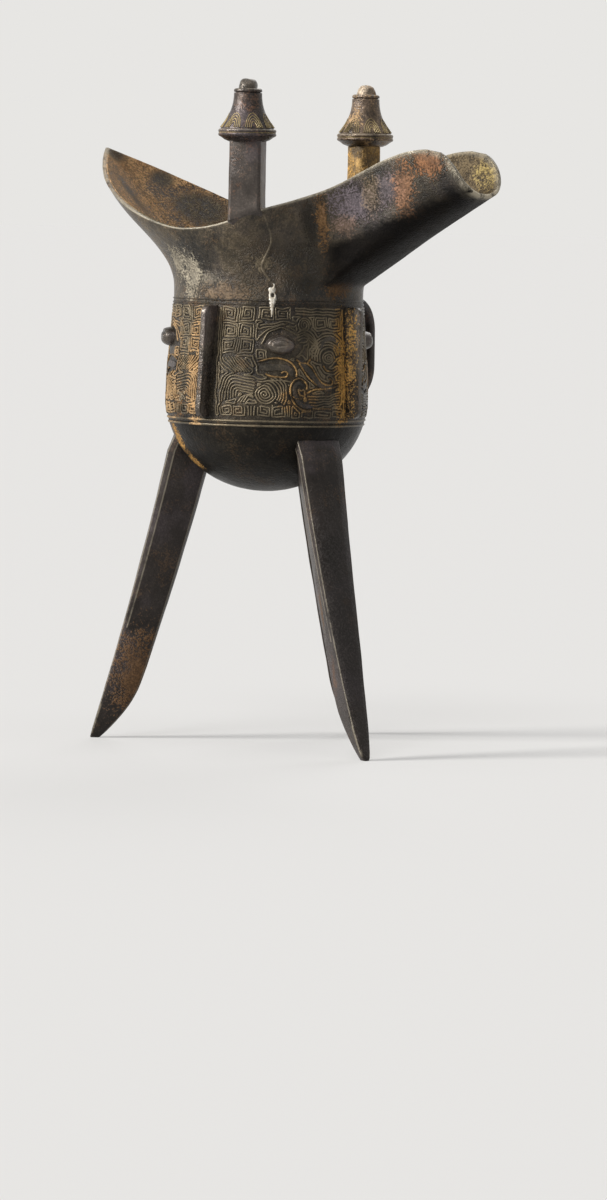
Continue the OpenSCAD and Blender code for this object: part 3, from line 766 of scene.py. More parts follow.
def filling_lines(drawn, pitch=0.84, cell=0.36):
    """Lines that run beside the drawn ones, one pitch apart, wherever the band is still bare."""
    low, high = Vector((2.2, 102.4)), Vector((46.4, 136.4))
    eye_u, eye_v, half_u, half_v = 22.8, 125.2, 5.4, 3.6
    seeds = [p for line in drawn for p in line]
    for middle, width in FIGURE_BODIES:
        for offset in (-0.5 * width, 0.0, 0.5 * width):
            seeds += beside(curve_through(middle), offset)
    tree = KDTree(len(seeds))
    for i, p in enumerate(seeds):
        tree.insert((p.x, p.y, 0), i)
    tree.balance()
    columns, rows = int((high.x - low.x) / cell) + 1, int((high.y - low.y) / cell) + 1
    field = {}
    for i in range(columns):
        for j in range(rows):
            u, v = low.x + i * cell, low.y + j * cell
            edge = min(i, columns - 1 - i, j, rows - 1 - j) * cell
            from_eye = hypot((u - eye_u) / half_u, (v - eye_v) / half_v) - 1
            field[i, j] = min(tree.find((u, v, 0))[2], edge + 0.3, max(0.0, from_eye) * 2.2)
    lines = []
    for k in range(1, 8):
        for line in contour(field, pitch * k + 0.0007, columns, rows):
            if len(line) > 4:
                lines.append([low + p * cell for p in line])
    return lines


def uneven(p, size=3.1, most=0.55):
    """How far a hand-drawn line strays at a flat place."""
    spot = Vector((p.x / size, p.y / size, 0))
    return Vector((noise.noise(spot), noise.noise(spot + Vector((0, 0, 9))))) * most


def thread_tree():
    """Geometry nodes: sweeps a round thread of one radius along every line of a mesh of edges."""
    tree = bpy.data.node_groups.new("raised_thread", "GeometryNodeTree")
    keys = {}
    for name, kind in (("Lines", "Geometry"), ("Radius", "Float"), ("Sides", "Int"), ("Finish", "Material")):
        socket = tree.interface.new_socket(name, in_out="INPUT", socket_type=f"NodeSocket{kind}")
        keys[name] = socket.identifier
    tree.interface.new_socket("Threads", in_out="OUTPUT", socket_type="NodeSocketGeometry")
    given, result = tree.nodes.new("NodeGroupInput"), tree.nodes.new("NodeGroupOutput")
    curve, circle, sweep, realize, paint = [tree.nodes.new(f"GeometryNode{kind}") for kind in (
        "MeshToCurve", "CurvePrimitiveCircle", "CurveToMesh", "RealizeInstances", "SetMaterial")]
    sweep.inputs["Fill Caps"].default_value = True
    for source, out, target, into in (
        (given, "Lines", curve, "Mesh"),
        (given, "Radius", circle, "Radius"),
        (given, "Sides", circle, "Resolution"),
        (curve, "Curve", sweep, "Curve"),
        (circle, "Curve", sweep, "Profile Curve"),
        (sweep, "Mesh", realize, "Geometry"),
        (realize, "Geometry", paint, "Geometry"),
        (given, "Finish", paint, "Material"),
        (paint, "Geometry", result, "Threads"),
    ):
        tree.links.new(source.outputs[out], target.inputs[into])
    return tree, keys


THREADS, THREAD_INPUTS = thread_tree()


def swept(lines, radius, material, sides):
    """A plain mesh of threads along lines of cup points."""
    points, edges = [], []
    for line in lines:
        edges += [(len(points) + i, len(points) + i + 1) for i in range(len(line) - 1)]
        points += [in_frame(p) for p in line]
    source = bpy.data.meshes.new("lines")
    source.from_pydata(points, edges, [])
    carrier = placed("lines", source)
    modifier = carrier.modifiers.new("threads", "NODES")
    modifier.node_group = THREADS
    for name, value in (("Radius", radius * MM), ("Sides", sides), ("Finish", material)):
        modifier[THREAD_INPUTS[name]] = value
    result = evaluated(carrier)
    bpy.data.objects.remove(carrier)
    return result


def threads(name, lines, radius, material, sides, slot="bronze_worn"):
    finished(name, joined([swept(lines, radius, material, sides)]), material, slot, 80)


def closed(ring):
    return ring + ring[:1]


def ribbon(middle, width, height, sink=0.25):
    """A low rounded band along a flat line: points (u, v, lift) and faces."""
    half_shape = [(0.15, height), (0.42, height * 0.75), (0.5, -sink)]
    shape = [(-s, h) for s, h in reversed(half_shape)] + half_shape
    line = curve_through(middle, 0.6)
    points, n = [], len(line)
    for i, p in enumerate(line):
        d = (line[min(i + 1, n - 1)] - line[max(i - 1, 0)]).normalized()
        side = Vector((-d.y, d.x))
        end = min(i, n - 1 - i) / 3
        w = width * (sqrt(clamp(end + 0.12)) if end < 1 else 1)
        for s, h in shape:
            q = p + side * (s * w)
            points.append((q.x, q.y, h))
    return points, tube_faces(n, len(shape))


THREAD_R, OUTLINE_LIFT, PATTERN_LIFT, BODY_LIFT = 0.26, 0.16, 0.07, 0.35


def build_half_mask(name, hand, middle):
    """The ornament of one quarter of the band, wrapped on the wall."""
    def wrap(lines, lift):
        return [[on_belly(p.x, p.y, lift, hand, middle) for p in line] for line in lines if len(line) > 1]

    bodies = []
    for line, width in FIGURE_BODIES:
        points, faces = ribbon(line, width, BODY_LIFT)
        bodies.append(mesh_of("body", [on_belly(*p, hand, middle) for p in points], faces))
    finished(f"figures_{name}", joined(bodies), figure_finish, "bronze_worn", 50, f"relief_{name}")
    threads(f"outlines_{name}", wrap(figure_lines(), OUTLINE_LIFT), THREAD_R, gold_finish, 8)
    drawn = fine_lines() + figure_lines()
    by_hand = [[p + uneven(p) for p in line] for line in fine_lines() + filling_lines(drawn)]
    threads(f"thunder_pattern_{name}", wrap(by_hand, PATTERN_LIFT), THREAD_R, thread_finish, 6)


# Coloured patches: centre and size in cup millimetres, colour, strength
MOUTH_PATCHES = (
    # Pale patches on the left of the neck: partly pale crust, partly a painted highlight
    ((-9, -28, 146), (6, 7, 13), PALE, 0.9),
    ((-15, -26, 150), (5, 8, 8), PALE, 0.8),
    ((-2, -30, 144), (7, 6, 3.5), PALE, 0.3),
    ((3, -29, 140.5), (15, 7, 4), (0.24, 0.155, 0.085), 0.5),
    # Next: painted shade on the right of the neck, beside the root of the spout
    ((25, -20, 148), (8, 9, 11), (0.018, 0.015, 0.010), 0.7),
    ((16, -27, 149), (11, 8, 9), MID_BROWN, 0.7),
    # Painted shade in the crease where the spout leaves the neck
    ((27.8, -19.5, 161), (2.2, 7, 9), NEARLY_BLACK, 0.7),
    # Painted sheen: purple-grey highlights along the lit upper face of the spout
    ((40, -13.5, 168), (12, 7, 8.5), PAINTED_PURPLE_SHEEN, 0.9),
    ((52, -12.8, 173), (7, 7, 7), PAINTED_PURPLE_SHEEN, 0.6),
    ((64.5, -12.3, 172.5), (6, 7, 5.5), NEARLY_BLACK, 0.6),
    ((73, -11.5, 174), (7, 9, 6), (0.030, 0.025, 0.026), 0.7),
    ((45.7, -13, 171), (4, 6, 8), (0.27, 0.19, 0.10), 0.55),
    ((37, -13.3, 161.5), (5.5, 6, 4), (0.30, 0.19, 0.13), 0.6),
    ((57.6, -12.8, 173), (5, 8, 11), (0.38, 0.185, 0.09), 0.72),
    ((66, -13, 181), (9, 8, 5.5), RUST, 0.8),
    ((30.6, -17, 163), (1.9, 6, 13), (0.36, 0.19, 0.07), 0.75),
    ((30.5, -5, 142), (7, 7, 4), OCHRE, 0.8),
    ((15.6, -26, 149.6), (4.5, 4, 3), (0.30, 0.24, 0.15), 0.6),
)
BELLY_PATCHES = (
    ((32.8, -3.6, 119), (4.4, 4.4, 27), BRIGHT_GOLD, 1.0),
    ((-5.8, -32.4, 114), (3.4, 4.6, 30), SAND, 1.0),
    ((-14, -29.5, 106), (5, 5, 9), OCHRE, 0.5),
)
THREAD_PATCHES = (
    ((30.8, -3.4, 119), (7, 5.5, 27), BRIGHT_GOLD, 1.0),
    ((24, -18, 108), (9, 9, 6), GOLD_DUST, 0.5),
    ((-6, -30, 115), (5, 8, 30), SAND, 0.9),
    ((-20, -24, 116), (14, 10, 26), SAND, 0.75),
    ((24, -20, 127), (9, 9, 9), (0.050, 0.040, 0.022), 0.6),
    ((9, -29.5, 124), (5, 5, 5), (0.050, 0.042, 0.030), 0.5),
)
BOWL_PATCHES = (
    ((-17.8, -22, 95), (4.2, 4.2, 7), GOLD_DUST, 0.8),
    ((-13.8, -19, 87), (4.2, 4.2, 7), GOLD_DUST, 0.7),
)
LEG_PATCHES = (
    ((-38, -14, 20), (12, 8, 20), (0.22, 0.115, 0.048), 0.7),
    ((36.9, -17, 24), (3.4, 3.4, 9), RUST, 0.9),
    ((31.6, -15, 42), (2.4, 2.6, 11), OCHRE, 0.7),
    # Next: painted light on the lit outer face of the front leg toward the spout
    ((43, -17, 48), (16, 12, 60), (0.075, 0.066, 0.062), 0.8),
)
FLANGE_PATCHES = (
    ((31.8, -2.6, 119.5), (3.6, 2.4, 26), (0.95, 0.56, 0.17), 1.0),
)

mouth_finish = patina(
    "mouth", ground=(0.034, 0.028, 0.020), lighter=(0.100, 0.077, 0.047), sheen=0.14, dust=0.22, rough=0.33,
    patches=MOUTH_PATCHES, edge=0.9, mottle=0.75, metal=0.1, is_mouth=True)
belly_finish = patina(
    "belly", ground=(0.020, 0.016, 0.011), lighter=(0.056, 0.044, 0.027), sheen=0.1, dust=0.2, rough=0.40,
    patches=BELLY_PATCHES, mottle=0.8, glint=0.25)
bowl_finish = patina(
    "bowl", ground=(0.008, 0.007, 0.006), lighter=(0.026, 0.022, 0.016), sheen=0.0, dust=0.08, rough=0.36,
    patches=BOWL_PATCHES, relief=0.6, mottle=0.5, glint=0.1, metal=0.05)
leg_finish = patina(
    "legs", ground=(0.024, 0.019, 0.016), lighter=(0.052, 0.043, 0.038), sheen=0.35, dust=0.15, rough=0.38,
    patches=LEG_PATCHES, relief=0.6, mottle=0.35, glint=0.2, edge=0.4)
thread_finish = patina(
    "threads", ground=(0.095, 0.077, 0.050), lighter=(0.235, 0.188, 0.120), sheen=0.0, dust=0.15, rough=0.38,
    patches=THREAD_PATCHES, relief=0.4, metal=0.3, ragged=0.3, mottle=0.35)
gold_finish = patina(
    "gold_lines", ground=(0.060, 0.040, 0.020), lighter=(0.40, 0.24, 0.09), sheen=0.0, dust=0.5, rough=0.45,
    relief=0.3, dusty=GOLD_DUST, metal=0.3)
figure_finish = patina(
    "figures", ground=(0.026, 0.022, 0.017), lighter=(0.075, 0.062, 0.044), sheen=0.4, dust=0.25, rough=0.38,
    patches=BELLY_PATCHES, relief=0.6, mottle=0.6)
grey_finish = patina(
    "grey", ground=(0.050, 0.041, 0.036), lighter=(0.098, 0.082, 0.070), sheen=0.5, dust=0.2, rough=0.38,
    relief=0.4, dusty=RUST, mottle=0.35, metal=0.2)
grey_cap_finish = patina(
    "grey_cap", ground=(0.026, 0.021, 0.019), lighter=(0.085, 0.064, 0.053), sheen=0.5, dust=0.3, rough=0.28,
    relief=0.5, dusty=RUST, mottle=0.6, metal=0.4, edge=0.85)
seam_finish = patina(
    "seam", ground=(0.070, 0.057, 0.040), lighter=(0.16, 0.13, 0.088), sheen=0.0, dust=0.2, rough=0.42,
    relief=0.5, mottle=0.6)
golden_finish = patina(
    "golden", ground=(0.19, 0.118, 0.044), lighter=(0.58, 0.36, 0.13), sheen=0.0, dust=0.8, rough=0.5,
    dusty=BRIGHT_GOLD, mottle=0.7)
arch_finish = patina(
    "arches", ground=(0.17, 0.13, 0.062), lighter=(0.50, 0.39, 0.20), sheen=0.0, dust=0.1, rough=0.36,
    relief=0.3, mottle=0.4, metal=0.3)
pale_finish = patina(
    "pale_knob", ground=(0.16, 0.12, 0.085), lighter=(0.50, 0.40, 0.28), sheen=0.2, dust=0.6, rough=0.4,
    relief=0.7, dusty=RUST)
brown_cap_finish = patina(
    "brown_cap", ground=(0.070, 0.048, 0.034), lighter=(0.22, 0.155, 0.095), sheen=0.2, dust=0.6, rough=0.34,
    relief=0.6, metal=0.3, mottle=0.7, edge=0.85, dusty=SAND)
WORN_BRONZE = dict(
    ground=(0.035, 0.029, 0.024), lighter=(0.12, 0.10, 0.078), sheen=0.5, dust=0.2, rough=0.28,
    relief=0.5, metal=0.5, mottle=0.4, glint=0.5)
gilt_finish = patina("gilt_flange", patches=FLANGE_PATCHES, **WORN_BRONZE)
worn_finish = patina("worn", **WORN_BRONZE)


def plaster():
    f = Finish("plaster_fill")
    grit = f.grain(0.7, 4.0, 0.6)
    color = f.mix((0.52, 0.46, 0.36), (0.80, 0.76, 0.68), grit.ramp(0.35, 0.65))
    color = f.mix(color, (0.05, 0.04, 0.03), f.attribute("pit"))
    return f.finish(color, 0.8, 0.0, grit, 0.4)


def build_wall():
    for name, node, finish, z0, floor, z1, counts, pole, roughness in (
        ("bowl_of_the_cup", "bowl", bowl_finish, BOTTOM, WALL, BAND_LOW, (40, 34), True, 0.14),
        ("belly_wall", "belly", belly_finish, BAND_LOW, 0, BAND_HIGH, (36, 24), False, 0.05),
    ):
        outer = profile_between(z0, z1, 0, counts[0], pole)
        inner = profile_between(z0 + floor, z1, WALL, counts[1], pole)
        profile = outer + inner[::-1]
        faces = ring_faces(240, len(profile))
        solid(name, spun(profile, 240), faces, finish, "bronze_dark", 40, node, roughness)


def build_borders():
    for name, heights, radius, finish in (
        ("upper", (137.0, 138.2), 0.26, belly_finish),
        ("lower", (100.2, 101.6), 0.36, thread_finish),
    ):
        rings = [closed([Vector(polar(wall_r(z), a, z)) for a in steps(0, 2 * pi, 240)]) for z in heights]
        mesh = cleaned(joined([swept(rings, radius, finish, 8)]))
        rough_cast(mesh, 0.08, 5.0)
        finished(f"border_threads_{name}", mesh, finish, "bronze_worn", 80, f"border_{name}")


def build_flange(name, angle, node, material, lean=0.0):
    """An upright rib with rounded ends, thinner towards its edge; lean turns its top and foot apart."""
    height, round_r = 3.8, 2.4
    low, high, out, back = 102.5, 136.5, BELLY_R + height, NECK_R - 1.0
    in_r, low_r, high_r = out - round_r, low + round_r, high - round_r
    outline = [(back, low)]
    outline += [(in_r + round_r * sin(a), low_r - round_r * cos(a)) for a in steps(0, pi / 2, 10)]
    outline += [(out - 0.15 * sin(pi * k / 24), blend(low_r, high_r, k / 24)) for k in range(25)]
    outline += [(in_r + round_r * cos(a), high_r + round_r * sin(a)) for a in steps(0.16, pi / 2, 9)]
    outline += [(in_r, high), (back, high)]
    middle = Vector(((out + back) / 2, (low + high) / 2))
    points = []
    # From one side to the other: share of the half thickness, and how far the outline draws in there
    layers = ((-1, 0.32), (-0.86, 0.06), (-0.6, 0.0), (0.6, 0.0), (0.86, 0.06), (1, 0.32))
    for share, shrink in layers:
        for x, z in outline:
            if x > back:
                inward = (middle - Vector((x, z))).normalized() * shrink
                x, z = x + inward.x, z + inward.y
            y = share * blend(1.4, 0.85, clamp((x - BELLY_R) / height))
            points.append((*turned(x, y, angle + lean * (z - middle.y) / (high - middle.y)), z))
    faces = tube_faces(len(layers), len(outline))
    solid(name, points, faces, material, "bronze_worn", 35, node, 0.1, 6.0)


def build_eye(name, angle, node, z0=126.0):
    """An oval boss with a heavy upper lid and a slit pupil."""
    half, high, rings, spokes = 4.9, 3.0, 22, 72

    def lift(s, t, q):
        dome = 3.3 * sqrt(max(0.0, 1 - q ** 2.4))
        lid = exp(-((q - 0.80) / 0.13) ** 2) * clamp(0.35 + 0.9 * t / high)
        groove = exp(-((q - 0.57) / 0.10) ** 2) * clamp(0.3 + 0.9 * t / high)
        slit = exp(-(s / 1.5) ** 4 - ((t + 0.25) / 0.38) ** 2)
        return dome + 0.5 * lid - 0.35 * groove - 0.4 * slit - 0.3 * q ** 6

    points = []
    for k in range(rings + 1):
        q = k / rings
        for i in range(spokes):
            a = 2 * pi * i / spokes
            s = half * q * cos(a)
            t = high * q * sin(a) * (1 - 0.12 * cos(a) ** 2)
            points.append(polar(wall_r(z0 + t) + lift(s, t, q), angle + s / (BELLY_R + 1), z0 + t))
    faces = tube_faces(rings + 1, spokes, capped=False)
    for i in range(spokes):
        faces.append((rings * spokes + i, rings * spokes + (i + 1) % spokes, len(points)))
    points.append(polar(BELLY_R - 1.5, angle, z0))
    solid(name, points, faces, worn_finish, "bronze_worn", 60, node)


POST_X, POST_Y, POST_W, POST_TOP, CAP_R, CAP_H = 13.2, 32.0, 9.0, 186.4, 8.8, 16.1
CAP_Z = POST_TOP - 0.3
POST_TURN, POST_IN, ABOVE_RIM, BELOW_WALL = radians(23), 0.5, 183, 146


def post_outline(width, bevel):
    """A square with rounded bevels, as flat points round the middle."""
    h, points = width / 2, []
    for sx, sy in ((1, -1), (1, 1), (-1, 1), (-1, -1)):
        beside_y, beside_x = Vector((sx * h, sy * (h - bevel))), Vector((sx * (h - bevel), sy * h))
        start, end = (beside_x, beside_y) if sx * sy < 0 else (beside_y, beside_x)
        corner = Vector((sx * h, sy * h))
        for t in (0, 0.25, 0.5, 0.75, 1):
            flat = start.lerp(end, t)
            points.append(flat + (corner - flat) * (0.7 * t * (1 - t)))
    return points


def build_post(name, side, width, bevel, material, slot, node, wall_tree):
    """A square post with bevelled corners that stands on the rim and grows out of the inside of the wall."""
    turn = -side * POST_TURN
    base = post_outline(width, bevel)
    shares = (0.0, 0.03, 0.06, 0.09, 0.12, 0.16, 0.2, 0.35, 0.5, 0.65, 0.8, 1.0)
    points = []
    for t in shares:
        grow = 1 + 0.035 * (1 - t) ** 2
        for p in base:
            across, deep = turned(p.x, p.y, turn)
            x, y = POST_X + grow * across, side * (POST_Y - POST_IN) + grow * deep
            hit = wall_tree.ray_cast(Vector(in_frame((x, y, ABOVE_RIM))), Vector((0, 0, -1)))[0]
            outside = abs(y) > rim_half(x) - 0.3
            on_wall = hit and hit.z / MM >= BELOW_WALL and not outside
            z = blend(hit.z / MM - 0.9 if on_wall else rim_z(x) - 3.5, POST_TOP, t)
            if outside:
                y -= side * 1.3 * max(0.0, rim_z(x) - 0.2 - z)
            points.append((x, y, z))
    solid(name, points, tube_faces(len(shares), len(base)), material, slot, 32, node, 0.12, 8.0)


def cap_flare(t):
    """Radius and height of the cap's hollow flare, t from the rim (0) to the collar (1)."""
    return 4.25 + (CAP_R - 0.35 - 4.25) * (1 - t) ** 2.2, CAP_Z + 3.9 + (CAP_H - 3.9 - 1.4) * t


def build_cap(name, side, material, slot, node):
    centre, top = (POST_X, side * POST_Y), CAP_Z + CAP_H
    foot = ((0, 0), (POST_W / 2 + 0.9, 0), (CAP_R - 2.0, 0.55), (CAP_R - 0.9, 1.35))
    profile = [(r, CAP_Z + h) for r, h in foot]
    for mid, r in ((2.15, 0.55), (3.25, 0.62)):
        profile += [(CAP_R - r + r * cos(a), CAP_Z + mid + r * sin(a)) for a in steps(-1.2, 1.35, 7)]
        profile.append((CAP_R - r - 0.12, CAP_Z + mid + r + 0.02))
    profile += [cap_flare(t / 14) for t in range(1, 15)]
    collar = ((3.75, 1.38), (3.7, 1.25), (4.2, 1.12), (4.32, 0.8), (4.2, 0.35), (3.8, 0.05), (0, 0))
    profile += [(r, top - below) for r, below in collar]
    faces = ring_faces(96, len(profile))
    cap = solid(name, spun(profile, 96, centre), faces, material, slot, 35, node, 0.09, 6.0)
    # Painted highlights on the upper rim ridge and the top of the collar, where light glints on polished
    # bronze
    heights = [v.co.z / MM - CAP_Z for v in cap.data.vertices]
    mark(cap.data, worn=[
        0.4 * max(exp(-((h - 3.6) / 0.25) ** 2), exp(-((h - CAP_H + 0.1) / 0.25) ** 2)) for h in heights])
    # Nested arches round the flare
    lines = []
    for g in range(7):
        middle = radians(-91 + g * 360 / 7)
        for k in range(4):
            half, rise = 0.34 - 0.075 * k, 0.40 - 0.08 * k
            line = []
            for s in [-1 + 2 * i / 16 for i in range(17)]:
                r, h = cap_flare(0.03 + rise * (1 - s * s) ** 0.5)
                line.append(Vector(polar(r + 0.03, middle + half * s, h, centre)))
            lines.append(line)
    threads(f"{name}_arches", lines, 0.15, arch_finish, 5)
    # A pale gold thread between the rim's ridges: partly a gold band, partly a painted highlight on the
    # polished ridges
    ring = [Vector(polar(CAP_R - 0.42, a, CAP_Z + 2.72, centre)) for a in steps(0, 2 * pi, 72)]
    gold_band_and_highlight = cleaned(joined([swept([closed(ring)], 0.28, arch_finish, 6)]))
    finished(f"{name}_gold_band_and_highlight", gold_band_and_highlight, arch_finish, "bronze_worn", 80)


def build_knob(name, side, material, node):
    """A small worn lump on the cap, not quite on its middle."""
    radius, bottom = 3.0, CAP_Z + CAP_H - 0.15
    lump = [(0, bottom)]
    lump += [(radius * cos(a) ** 0.7, bottom + radius * sin(a) ** 0.9) for a in steps(0, pi / 2, 12)]
    lump += [(0, bottom + radius)]
    points = spun(lump, 48, (POST_X + 0.15, side * POST_Y - 0.1))
    solid(name, points, ring_faces(48, len(lump)), material, "bronze_worn", 60, node, 0.5, 3.2)


LEG_FOOT_R, LEG_ROOT_Z, LEG_DEPTH, LEG_BOW, ANKLE_Z = 55.2, BAND_LOW - 4.8, 13.2, 1.2, 18


def leg_ring(t):
    """Eight corners of a leg's section at t from the foot (0) to the root (1)."""
    z = LEG_ROOT_Z * t
    r = blend(LEG_FOOT_R, wall_r(LEG_ROOT_Z) + 0.9, t) - 4 * LEG_BOW * t * (1 - t)
    r -= 1.1 * ease((t - 0.94) / 0.06)
    half = 1.0 + 6.9 * t ** 0.55
    taper = 1 - (1 - clamp(z / ANKLE_Z)) ** 2
    depth = blend(2.8, blend(0.76 * LEG_DEPTH, LEG_DEPTH, t), taper)
    edge = max(0.6, half * 0.22)
    front, back = r - 0.16 * half, r - 0.45 * half
    return [Vector((x, y, z)) for x, y in (
        (front, half), (back, half), (r - depth, edge), (r - depth, -edge),
        (back, -half), (front, -half), (r, -0.55 * half), (r, 0.55 * half),
    )]


def build_leg(name, angle, node):
    """A blade-like leg with bevelled edges, cut to fit the outside of the bowl."""
    rings = [leg_ring((i / 46) ** 1.2) for i in range(47)]
    points = [(*turned(p.x, p.y, angle), p.z) for ring in rings for p in ring]
    blank = placed("blank", cleaned(mesh_of(name, points, tube_faces(len(rings), 8))))
    outside = profile_between(BOTTOM, BAND_LOW, 0, 24, True)
    profile = [(max(0.0, r - 1.0), z + 0.6) for r, z in outside] + [(0, BAND_LOW + 0.6)]
    core = placed("core", cleaned(mesh_of("core", spun(profile, 96), ring_faces(96, len(profile)))))
    bevel = blank.modifiers.new("bevel", "BEVEL")
    bevel.width = 0.45 * MM
    bevel.segments = 3
    bevel.limit_method = "ANGLE"
    bevel.angle_limit = radians(24)
    cut = blank.modifiers.new("cut", "BOOLEAN")
    cut.operation = "DIFFERENCE"
    cut.solver = "EXACT"
    cut.object = core
    mesh = evaluated(blank)
    for temporary in (blank, core):
        bpy.data.objects.remove(temporary)
    # The points in the middle of a bevel touch only its narrow faces: those edges are worn bright
    widest = [0.0] * len(mesh.vertices)
    for face in mesh.polygons:
        for v in face.vertices:
            widest[v] = max(widest[v], face.area / MM ** 2)
    narrow, ankle = 1.1, 2 * MM
    mark(mesh, worn=[float(area < narrow and v.co.z > ankle) for area, v in zip(widest, mesh.vertices)])
    rough_cast(mesh, 0.12, 9.0)
    mesh.name = name
    finished(name, mesh, leg_finish, "bronze_dark", 26, node)


def build_handle():
    """A flat strap bent out from the wall and back, with a slight crown and rounded edges."""
    half_w, half_t, bend = 8.0, 1.7, 9.3
    reach, low, high = 48.6 - half_t, 106.5 + half_t, 139.4 - half_t
    in_r, low_r, high_r = reach - bend, low + bend, high - bend
    path = [(NECK_R - 1.2, low), (in_r, low)]
    path += [(in_r + bend * sin(a), low_r - bend * cos(a)) for a in steps(0.0, pi / 2, 12)]
    path += [(reach, low_r + (high - low - 2 * bend) * k / 10) for k in range(11)]
    path += [(in_r + bend * cos(a), high_r + bend * sin(a)) for a in steps(0.13, pi / 2, 12)]
    path += [(in_r, high), (NECK_R - 1.6, high)]
    dense = polyline(path, 1.2)
    section = [
        (half_w * squarish(cos(s), 0.28), half_t * squarish(sin(s), 0.5)) for s in steps(0, 2 * pi, 40)]
    points = []
    for i, p in enumerate(dense):
        d = (dense[min(i + 1, len(dense) - 1)] - dense[max(i - 1, 0)]).normalized()
        for x, y in section:
            q = p + Vector((d.y, -d.x)) * y
            points.append((x, q.x, q.y))
    faces = tube_faces(len(dense), len(section))
    solid("strap_of_the_handle", points, faces, leg_finish, "bronze_dark", 45, "handle_strap", 0.12, 9.0)


def build_head():
    """A small ox head on the shoulder of the strap: brow, muzzle, horns, ears, eyes and nostrils."""
    base, sides = 139.2, 32
    # From the brow to the muzzle: distance out, half width, height
    sections = ((31.4, 4.6, 3.4), (32.2, 5.2, 4.2), (34.0, 5.0, 4.3), (35.6, 4.0, 3.7),
                (37.0, 3.0, 2.9), (38.4, 2.7, 2.4), (39.4, 2.8, 2.3), (40.0, 2.3, 1.6))
    points = []
    for x, w, h in sections:
        for s in steps(0, 2 * pi, sides):
            z = h * 0.5 + h * 0.5 * squarish(sin(s), 0.7)
            points.append((w * squarish(cos(s), 0.7), x, base - 0.3 + z))
    parts = [mesh_of("head", points, tube_faces(len(sections), sides))]
    for side in (-1, 1):
        horn = curve_through([
            (side * 3.0, 32.6, base + 3.2), (side * 4.6, 32.2, base + 3.9), (side * 5.2, 33.2, base + 4.3),
            (side * 4.6, 34.4, base + 4.4)])
        eye = [Vector((p.x, p.y, base + 3.1)) for p in round_spiral(side * 3.0, 36.0, 0.9, 0.0, 1.0)]
        ear = curve_through([
            (side * 4.2, 34.8, base + 2.2), (side * 5.4, 35.2, base + 2.4), (side * 5.9, 36.0, base + 2.2)])
        nostril = closed([
            Vector((side * 1.3 + 0.4 * cos(a), 39.2 + 0.3 * sin(a), base + 2.0))
            for a in steps(0, 2 * pi, 12)])
        for line, radius, around in ((horn, 0.62, 10), (eye, 0.3, 8), (ear, 0.55, 8), (nostril, 0.18, 6)):
            parts.append(swept([line], radius, worn_finish, around))
    finished("ox_head", joined(parts), worn_finish, "bronze_worn", 45, "handle_head")


def build_repair():
    """A pale ragged streak of filler with two pits, lying on the neck."""
    rows, cols = 60, 14
    top, foot, angle, half_width, thick, swell = 143.6, 133.4, radians(-53), 1.1, 0.9, 0.42
    # Height of each pit, its place across the streak and its radius
    pits = ((142.9, -0.25, 0.62), (139.9, 0.1, 0.58))
    points, faces, pit = [], [], []
    for i in range(rows + 1):
        t = i / rows
        z = blend(top, foot, t)
        width = half_width * (0.35 + 0.65 * sin(pi * clamp(t * 1.05)) ** 0.5)
        width *= 1 if t < 0.5 else blend(1, 0.35, (t - 0.5) * 2)
        width *= 1 + 0.45 * noise.noise(Vector((0, 0, z * 0.9)))
        if t in (0.0, 1.0):
            width = 0.12
        shift = 0.35 * noise.noise(Vector((5, 0, z * 0.35)))
        for j in range(cols + 1):
            s = -1 + 2 * j / cols
            u = s * width + shift
            lift = swell * (1 - s * s) ** 0.5 - 0.05
            dark = 0.0
            for pit_z, pit_u, radius in pits:
                q = hypot((z - pit_z) / 1.2, u - shift - pit_u) / radius
                lift -= 0.75 * exp(-q ** 4)
                dark = max(dark, exp(-(q * 1.05) ** 6))
            r = wall_r(min(z, NECK_TOP)) + max(0.0, z - NECK_TOP) * 0.12 + lift
            points.append(polar(r, angle + u / NECK_R, z))
            pit.append(dark)
    n, back = cols + 1, len(points)
    for x, y, z in list(points):
        k = 1 - thick / hypot(x, y)
        points.append((x * k, y * k, z))
        pit.append(0.0)
    for i in range(rows):
        for j in range(cols):
            a = i * n + j
            faces.append((a, a + n, a + n + 1, a + 1))
            faces.append((back + a, back + a + 1, back + a + n + 1, back + a + n))
    edge = list(range(n)) + [i * n + cols for i in range(1, rows + 1)]
    edge += [rows * n + j for j in range(cols - 1, -1, -1)] + [i * n for i in range(rows - 1, 0, -1)]
    faces += [(a, b, back + b, back + a) for a, b in zip(edge, closed(edge)[1:])]
    mesh = mesh_of("filler_in_the_neck", points, faces)
    mark(mesh, pit=pit)
    finished("filler_in_the_neck", mesh, plaster(), "filling", 50, "repair_fill")


def build_seam(wall_tree):
    """The casting seam that runs down the neck beside the post."""
    marks = [(20.0, -32.0, 164.5), (19.4, -27.2, 157.5), (17.9, -26.4, 153.5), (16.5, -26.3, 151.1),
             (15.4, -26.0, 148.6), (16.0, -25.2, 146.4), (17.2, -24.0, 144.4)]
    radius, sunk = 0.5, 0.33
    line = []
    for p in curve_through(marks, 0.7):
        spot, normal = wall_tree.find_nearest(Vector(in_frame(p)))[:2]
        spot -= normal * sunk * MM
        line.append(Vector((spot.x / MM - CUP.x, spot.y / MM - CUP.y, spot.z / MM)))
    threads("casting_seam", [line], radius, seam_finish, 10, "bronze_grey")


# Floor: what it reflects, and what it adds for the camera; world: what it sheds, and how it looks
FLOOR_TONE, FLOOR_GLOW = (0.45, 0.447, 0.44), (0.329, 0.324, 0.316)
WORLD_LIGHT, WORLD_TONE = (0.10, 0.10, 0.108), (0.80, 0.79, 0.77)
HORIZON = 60


